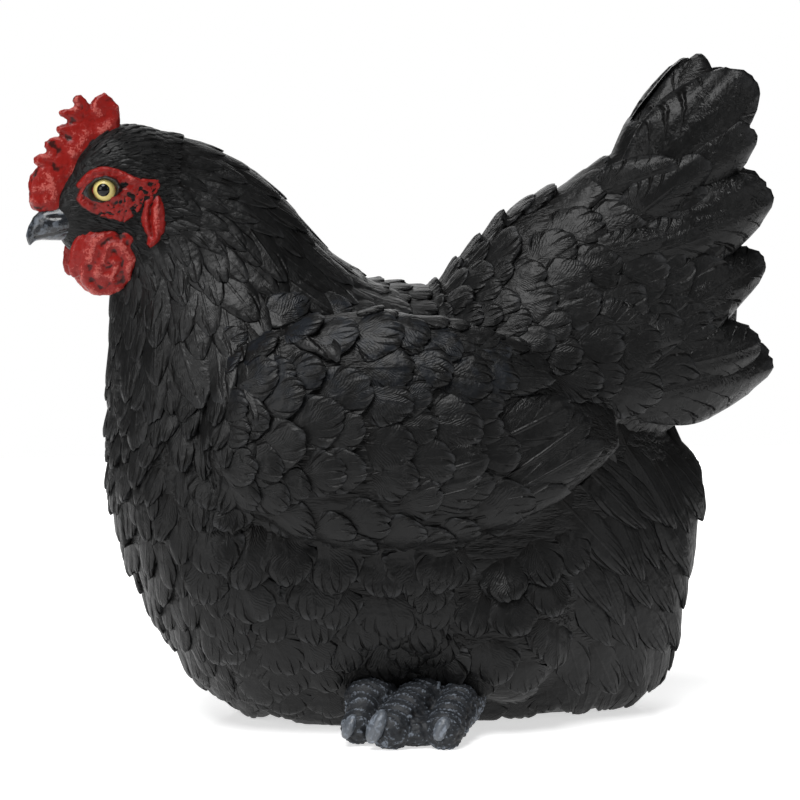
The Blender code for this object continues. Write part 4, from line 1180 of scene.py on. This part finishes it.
# A raised patch on the left of the core; height(points, inside) is in millimetres
def reliefPatch(outline, cell, height, sink=0.8):
    outlineArray = np.array(outline, float)
    low, high = outlineArray.min(0) - 1.2, outlineArray.max(0) + 1.2
    across, up = int((high[0] - low[0]) / cell) + 1, int((high[1] - low[1]) / cell) + 1
    points = np.array([(low[0] + i * cell, low[1] + j * cell) for j in range(up) for i in range(across)])
    inside = insideDistance(points, outline)
    kept = inside > -0.9
    tall = height(points, inside)
    raised = np.where(inside > 0, tall, tall * 0) - sink * smoothStep(0.0, -0.9, inside) - 0.2
    seats, normals = (np.array(v).reshape(up, across, 3) for v in zip(*[fromSide(x, z) for x, z in points]))
    for _ in range(6):
        for field in (seats, normals):
            field[1:-1, 1:-1] = (field[:-2, 1:-1] + field[2:, 1:-1] + field[1:-1, :-2] + field[1:-1, 2:]) / 4
    normals /= np.linalg.norm(normals, axis=2, keepdims=True)
    places = seats.reshape(-1, 3) + normals.reshape(-1, 3) * raised[:, None] * mm
    index = -np.ones(len(points), int)
    index[kept] = np.arange(kept.sum())
    faces = []
    for j in range(up - 1):
        for i in range(across - 1):
            corner = [j * across + i, j * across + i + 1, (j + 1) * across + i + 1, (j + 1) * across + i]
            if all(index[c] >= 0 for c in corner):
                faces.append([int(index[c]) for c in corner])
    mesh = bpy.data.meshes.new("patch")
    mesh.from_pydata([Vector(p) for p in places[kept]], [], faces)
    tallest = max(raised[kept].max(), 0.01)
    addAttribute(mesh, "raised", "FLOAT", np.clip(raised[kept] / tallest, 0, 1))
    return mirroredPair(mesh)


def faceHeight(points, inside):
    reach = np.linalg.norm((points - np.array(eye["at"])) * (1, 1.1), axis=1)
    wander = fractal(points, 0.16, 3.0)
    wrinkle = np.sin(reach * 1.7 + wander * 6.5) * 0.34 * smoothStep(6.5, 9.0, reach)
    wrinkle *= smoothStep(-0.3, 0.3, fractal(points, 0.22, 12.0))
    lump = fractal(points, 0.34, 8.0) * 0.75
    arc = np.exp(-((inside - 2.2) / 1.6) ** 2) * smoothStep(268, 273, points[:, 1]) * 0.9
    knob = 1.5 * np.exp(-(np.linalg.norm(points - np.array((-141.0, 272.0)), axis=1) / 2.8) ** 2)
    return (1.0 + wrinkle + lump + arc + knob) * smoothStep(0, 1.6, inside)


def lidHeight(points, inside):
    reach = np.linalg.norm(points - np.array(eye["at"]), axis=1)
    ring = 1.5 * np.exp(-((reach - 7.2) / 1.5) ** 2)
    hood = 1.3 * smoothStep(0, 5, points[:, 1] - eye["at"][1])
    opening = smoothStep(4.6 - hood * 1.2, 6.2, reach)
    return (2.6 + hood + ring + 0.25 * np.sin(reach * 4.0)) * smoothStep(0, 1.4, inside) * opening


def lobeHeight(points, inside):
    crease = segmentDistance(points, lobeCrease)
    folds = np.sin(points[:, 0] * 1.5 + fractal(points, 0.2, 5.0) * 2.5) * 0.3
    dome = 3.4 * smoothStep(0, 4.2, inside) ** 0.6 - 2.3 * np.exp(-((crease / 1.3) ** 2))
    return (dome + folds + fractal(points, 0.6, 2.0) * 0.3) * smoothStep(0, 1.0, inside)


# Base, wash with painted shade and dry-brush with painted highlight, how much of it, its scale, the
# roughness, the bump and the shine
paintedLooks = {
    "skin": ("redSkin", "red", "redWashAndShade", "redBrushAndHighlight", 0.6, 520.0, 0.34, 0.0003, 0.20),
    "lid": ("lidLook", "black", "recess", "brushAndHighlight", 0.3, 500.0, 0.35, 0.0002, 0.5),
    "horn": ("hornLook", "slate", "slateWashAndShade", "paleSlate", 0.5, 150.0, 0.26, 0.0001, 0.5),
    "claw": ("clawLook", "claw", "paleSlate", "paleSlate", 0.7, 300.0, 0.4, 0.0002, 0.5),
    "foot": ("footLook", "slate", "slateWashAndShade", "paleSlate", 0.75, 420.0, 0.55, 0.0004, 0.25),
}
for lookName, (title, base, washAndShade, brushAndHighlight, amount, scale, rough, bumpReach, shine) in paintedLooks.items():
    values = {"Base": paint[base], "Wash And Shade": paint[washAndShade], "Brush And Highlight": paint[brushAndHighlight]}
    values |= {"Brush And Highlight Amount": amount, "Scale": scale, "Roughness": rough}
    looks[lookName] = groupMaterial(title, painted, values, bumpReach, shine)


def dressed(mesh, look):
    mesh.materials.clear()
    mesh.materials.append(looks[look])
    return mesh


finishPiece("faceSkin", dressed(reliefPatch(facePatch, 0.5, faceHeight), "skin"), 60)
finishPiece("eyelids", dressed(reliefPatch(lidOutline, 0.4, lidHeight), "lid"), 60)
finishPiece("earLobes", dressed(reliefPatch(lobeOutline, 0.5, lobeHeight), "skin"), 60)


# Overlapping shapes under one skin; carve returns its painted relief and plain swelling in millimetres
def sculpted(shapes, cell, smoothing, carve, seed=0.0):
    mesh = remeshed(joined(shapes), cell, smoothing)
    points, normals = readPoints(mesh), readPoints(mesh, "normal")
    relief, swell = carve(points / np.array(figure["step"]), normals)
    writePoints(mesh, points + normals * (relief + swell)[:, None] * mm)
    low, high = np.percentile(relief, 3), np.percentile(relief, 97)
    addAttribute(mesh, "raised", "FLOAT", np.clip((relief - low) / max(high - low, 0.01), 0, 1))
    return mesh


def cloudy(points, scale, seed):
    return np.array([noise.fractal(Vector(p) * scale + Vector((seed, seed, 0)), *roughening) for p in points])


# A flat outline in the middle plane given its thickness and a rounded rim
def plate(outline, thickness, bevel):
    curve = bpy.data.curves.new("plate", "CURVE")
    curve.dimensions, curve.fill_mode = "2D", "BOTH"
    curve.extrude, curve.bevel_depth, curve.bevel_resolution = thickness / 2 - bevel, bevel, 3
    curve.offset = -bevel
    spline = curve.splines.new("POLY")
    spline.points.add(len(outline) - 1)
    for point, (x, z) in zip(spline.points, outline):
        spot = place(x, 0, z)
        point.co = (spot.x, spot.z, 0, 1)
    spline.use_cyclic_u = True
    item = makeObject("plate", curve)
    mesh = evaluated(item)
    shape = bmesh.new()
    shape.from_mesh(mesh)
    bmesh.ops.remove_doubles(shape, verts=shape.verts, dist=0.00001)
    shape.transform(Matrix.Rotation(math.radians(90), 4, "X"))
    bmesh.ops.recalc_face_normals(shape, faces=shape.faces)
    bpy.data.objects.remove(item, do_unlink=True)
    bpy.data.meshes.remove(mesh)
    bpy.data.curves.remove(curve)
    return shape


# Soft lumps, grooves that fan from the base towards the teeth, and a fuller foot
def carveComb(points, normals):
    flat = points[:, [0, 2]]
    angle = np.arctan2(flat[:, 1] - 262, flat[:, 0] + 150)
    reach = np.hypot(flat[:, 1] - 262, flat[:, 0] + 150)
    lumps = cloudy(points, 0.14, 4.0) * 0.7 + cloudy(points, 0.45, 9.0) * 0.22
    grooves = np.sin(angle * 24 + cloudy(points, 0.07, 2.0) * 4) * 0.22 * smoothStep(24, 34, reach)
    foot = 2.2 * smoothStep(14, 0, insideFoot(flat)) - 0.5
    return lumps + grooves, foot


def insideFoot(flat):
    return segmentDistance(flat, ((-178, 258), (-172, 274), (-160, 286), (-146, 292)))


comb = {"thickness": 0.0075, "rim": 0.0024}
combMesh = sculpted([plate(combOutline, comb["thickness"], comb["rim"])], 0.0007, 2, carveComb)
finishPiece("comb", dressed(combMesh, "skin"), 75)

wattle = {"at": (-150.6, -13, 230.5), "half": (0.0132, 0.0046, 0.0150)}


def carveWattle(points, normals):
    flat = points[:, [0, 2]] - np.array((wattle["at"][0] + 1, wattle["at"][2]))
    reach = np.hypot(flat[:, 0] / 15.0, flat[:, 1] / 19.0)
    angle = np.arctan2(flat[:, 1], flat[:, 0])
    spiral = np.sin(reach * 13 + angle * 1.5 + cloudy(points, 0.12, 6.0) * 2.4) * 0.55
    spiral *= smoothStep(1.02, 0.8, reach)
    rim = 1.3 * np.exp(-((reach - 0.86) / 0.14) ** 2)
    return spiral + cloudy(points, 0.3, 1.0) * 0.5, rim - 0.9 * smoothStep(0.7, 0.2, reach)


tiltIn = Matrix.Rotation(math.radians(-14), 3, "Z") @ Matrix.Rotation(math.radians(10), 3, "Y")
wattleShapes = [
    ball(place(*wattle["at"]), wattle["half"], tiltIn),
    ball(place(-158, -9, 240), (0.0045, 0.0036, 0.0105), Matrix.Rotation(math.radians(-12), 3, "Y")),
    ball(place(-163.5, -8.5, 235.5), (0.0052, 0.0036, 0.0125), Matrix.Rotation(math.radians(12), 3, "Y")),
    ball(place(-143.5, -13, 238), (0.0050, 0.0042, 0.0085), Matrix.Rotation(math.radians(16), 3, "Y")),
]
wattleMesh = mirroredPair(sculpted(wattleShapes, 0.0007, 3, carveWattle))
finishPiece("wattles", dressed(wattleMesh, "skin"), 75)

beakRings = (
    ((-162, 262), (-162, 243), 8.0, 0.50), ((-168, 261.5), (-168, 241.5), 9.6, 0.50),
    ((-176, 258.5), (-176, 241.5), 8.5, 0.48), ((-181, 257), (-181, 241.8), 7, 0.46),
    ((-185, 253.5), (-184.5, 241.4), 5.4, 0.42), ((-187.6, 249), (-186, 240.2), 4, 0.40),
    ((-189, 244), (-187, 238.6), 2.6, 0.40),
)


# The gape line and the nostril are cut in
def carveBeak(points, normals):
    gape = segmentDistance(points[:, [0, 2]], ((-185, 243.4), (-176, 245.2), (-166, 248)))
    nostril = np.hypot((points[:, 0] + 176) / 3.2, (points[:, 2] - 253.2) / 1.0)
    cuts = 0.7 * np.exp(-((gape / 0.5) ** 2)) + 0.9 * np.exp(-(nostril**2))
    return cloudy(points, 0.3, 3.0) * 0.2 - cuts, np.zeros(len(points))


beakShapes = [loft([eggRing(*ring) for ring in beakRings])]
finishPiece("beak", dressed(sculpted(beakShapes, 0.0006, 2, carveBeak), "horn"), 75)


def eyeMaterial(name, colour, ring, roughness):
    made, tree, shader = newMaterial(name)
    edge = calc(tree, "MULTIPLY_ADD", speckle(tree, 900.0), 0.25, attribute(tree, "raised"))
    feed(tree, shader["Base Color"], mixed(tree, span(tree, edge, 0.55, 0.9), ring, colour))
    shader["Roughness"].default_value = roughness
    shader["Specular IOR Level"].default_value = 0.25
    return made


looks["iris"] = eyeMaterial("irisLook", paint["iris"], paint["irisRing"], 0.25)
looks["pupil"] = eyeMaterial("pupilLook", paint["pupil"], paint["pupilRing"], 0.06)


def eyeBall(centre, radius, flatten, normal, look, name):
    turn = normal.to_track_quat("Z", "Y").to_matrix()
    shape = ball(centre, (radius, radius, radius * flatten), turn, 40, 24)
    mesh = bpy.data.meshes.new(name)
    shape.to_mesh(mesh)
    shape.free()
    facing = [max((v.co - centre).normalized().dot(normal), 0.0) for v in mesh.vertices]
    addAttribute(mesh, "raised", "FLOAT", facing)
    finishPiece(name, dressed(mirroredPair(mesh), look), 80)


eyeSkin, eyeNormal = fromSide(*eye["at"])
eyeCentre = eyeSkin - eyeNormal * eye["radius"] * eye["sunk"]
pupilCentre = eyeCentre + eyeNormal * eye["radius"] * eye["pupilOut"]
eyeBall(eyeCentre, eye["radius"], 1.0, eyeNormal, "iris", "irises")
eyeBall(pupilCentre, eye["pupil"], eye["pupilFlat"], eyeNormal, "pupil", "pupils")
print("head done")


# Feet: each toe runs from under the belly to its tip, with plates across its top and pebbled skin below
toes = (
    ((-20, -62, 21), (-33, -84, 10), 9.5, 8.0), ((2, -62, 17), (-18, -92, 9.5), 13.0, 11.0),
    ((22, -62, 19), (7, -97, 9.5), 11.0, 9.5),
)
footPads = (
    ((-6, -86, 8.5), (14, 16, 8.5)), ((-26, -70, 22), (12, 10, 8.5)), ((4, -70, 12), (22, 14, 11)),
    ((-30, -78, 16), (8, 9, 9)),
)
clawLumps = (
    ((-26.0, -98.5, 12.5), (4.2, 6.5, 8.8)), ((4.5, -104, 11.5), (3.8, 4.6, 6.4)),
    ((-38, -89, 11), (3.0, 5.5, 6.5)),
)
scute = {"every": 4.3, "depth": 1.1, "pebble": 0.46}


def toeShapes():
    shapes = []
    for start, tip, wide, narrow in toes:
        for step in range(5):
            share = step / 4
            middle = place(*[blend(a, b, share) for a, b in zip(start, tip)])
            half = blend(wide, narrow, share)
            tall = min(half * 1.05, middle.z / stepZ)
            shapes.append(ball(middle, place(half, half * 1.15, tall)))
    return shapes


# Plates across the toes above, pebbled scales below
def carveFoot(points, normals):
    nearest = np.full(len(points), 1e9)
    plates = beside = np.zeros(len(points))
    for start, tip, wide, narrow in toes:
        start, axis = np.array(start, float), np.array(tip, float) - start
        length = np.linalg.norm(axis)
        axis /= length
        offset = points - start
        run = offset @ axis
        away = np.linalg.norm(offset - np.clip(run, 0, length)[:, None] * axis, axis=1)
        phase = run / scute["every"] + cloudy(points, 0.06, 2.0) * 0.5
        ridge = (1 - (phase % 1.0)) ** 0.7
        plates = np.where(away < nearest, ridge, plates)
        beside = np.where(away < nearest, np.abs(offset[:, 0] * axis[1] - offset[:, 1] * axis[0]), beside)
        nearest = np.minimum(nearest, away)
    above = smoothStep(0.15, 0.5, normals[:, 2]) * smoothStep(9, 14, points[:, 2])
    above *= smoothStep(9.0, 6.5, beside)
    cells = np.array([noise.voronoi(Vector(p) * scute["pebble"])[0][0] for p in points])
    pebbles = (0.55 - cells) * 1.5 + cloudy(points, 0.12, 3.0) * 0.9
    return above * (plates - 0.5) * scute["depth"] + (1 - above) * pebbles, np.zeros(len(points))


footShapes = toeShapes() + [ball(place(*centre), place(*half)) for centre, half in footPads]
finishPiece("feet", dressed(mirroredPair(sculpted(footShapes, 0.0008, 2, carveFoot)), "foot"), 75)


def carveClaw(points, normals):
    return cloudy(points, 0.3, 7.0) * 0.25, np.zeros(len(points))


clawTurn = Matrix.Rotation(math.radians(24), 3, "Y")
clawShapes = [ball(place(*centre), place(*half), clawTurn) for centre, half in clawLumps]
finishPiece("claws", dressed(mirroredPair(sculpted(clawShapes, 0.0006, 2, carveClaw)), "claw"), 75)
print("feet done")


# Stage
stage = {"floorHalf": 1.1, "floor": (0.80, 0.80, 0.80, 1), "glow": 0.75, "surround": 0.08}


def makeStage():
    mesh = bpy.data.meshes.new("floor")
    half = stage["floorHalf"]
    corners = [(-half, -half, 0), (half, -half, 0), (half, half, 0), (-half, half, 0)]
    mesh.from_pydata(corners, [], [(0, 1, 2, 3)])
    floor = makeObject("floor", mesh)
    made, _, shader = newMaterial("floorLook")
    for label, value in (
        ("Base Color", stage["floor"]), ("Roughness", 0.3), ("Specular IOR Level", 0.12),
        ("Emission Color", stage["floor"]), ("Emission Strength", stage["glow"]),
    ):
        shader[label].default_value = value
    floor.data.materials.append(made)
    bpy.context.scene.view_settings.view_transform = "Standard"
    world = bpy.data.worlds.new("studio")
    bpy.context.scene.world = world
    world.use_nodes = True
    tree = world.node_tree
    seen = addNode(tree, "ShaderNodeLightPath").outputs["Is Camera Ray"]
    strength = calc(tree, "MULTIPLY_ADD", seen, 1.0 - stage["surround"], stage["surround"])
    feed(tree, tree.nodes["Background"].inputs[0], (1, 1, 1, 1))
    feed(tree, tree.nodes["Background"].inputs[1], strength)


makeStage()

lamps = {
    "topSun": {"kind": "SUN", "from": (-0.22, -0.32, 1.0), "spread": 38.0, "power": 3.6},
    "leftBox": {"kind": "AREA", "from": (-1.6, -0.9, 0.75), "spread": 1.0, "power": 13.0},
    "rightBox": {"kind": "AREA", "from": (1.5, -1.1, 0.9), "spread": 0.9, "power": 5.0},
    "backBox": {"kind": "AREA", "from": (0.1, 1.6, 1.1), "spread": 1.4, "power": 11.0},
}
for lampName, plan in lamps.items():
    light = bpy.data.lights.new(lampName, plan["kind"])
    light.energy = plan["power"]
    if plan["kind"] == "SUN":
        light.angle = math.radians(plan["spread"])
    else:
        light.size = plan["spread"]
    lamp = bpy.data.objects.new(lampName, light)
    lamp.location = plan["from"]
    lamp.rotation_euler = (Vector((0, 0, 0.15)) - lamp.location).to_track_quat("-Z", "Y").to_euler()
    bpy.context.scene.collection.objects.link(lamp)

bpy.data.objects.remove(core, do_unlink=True)
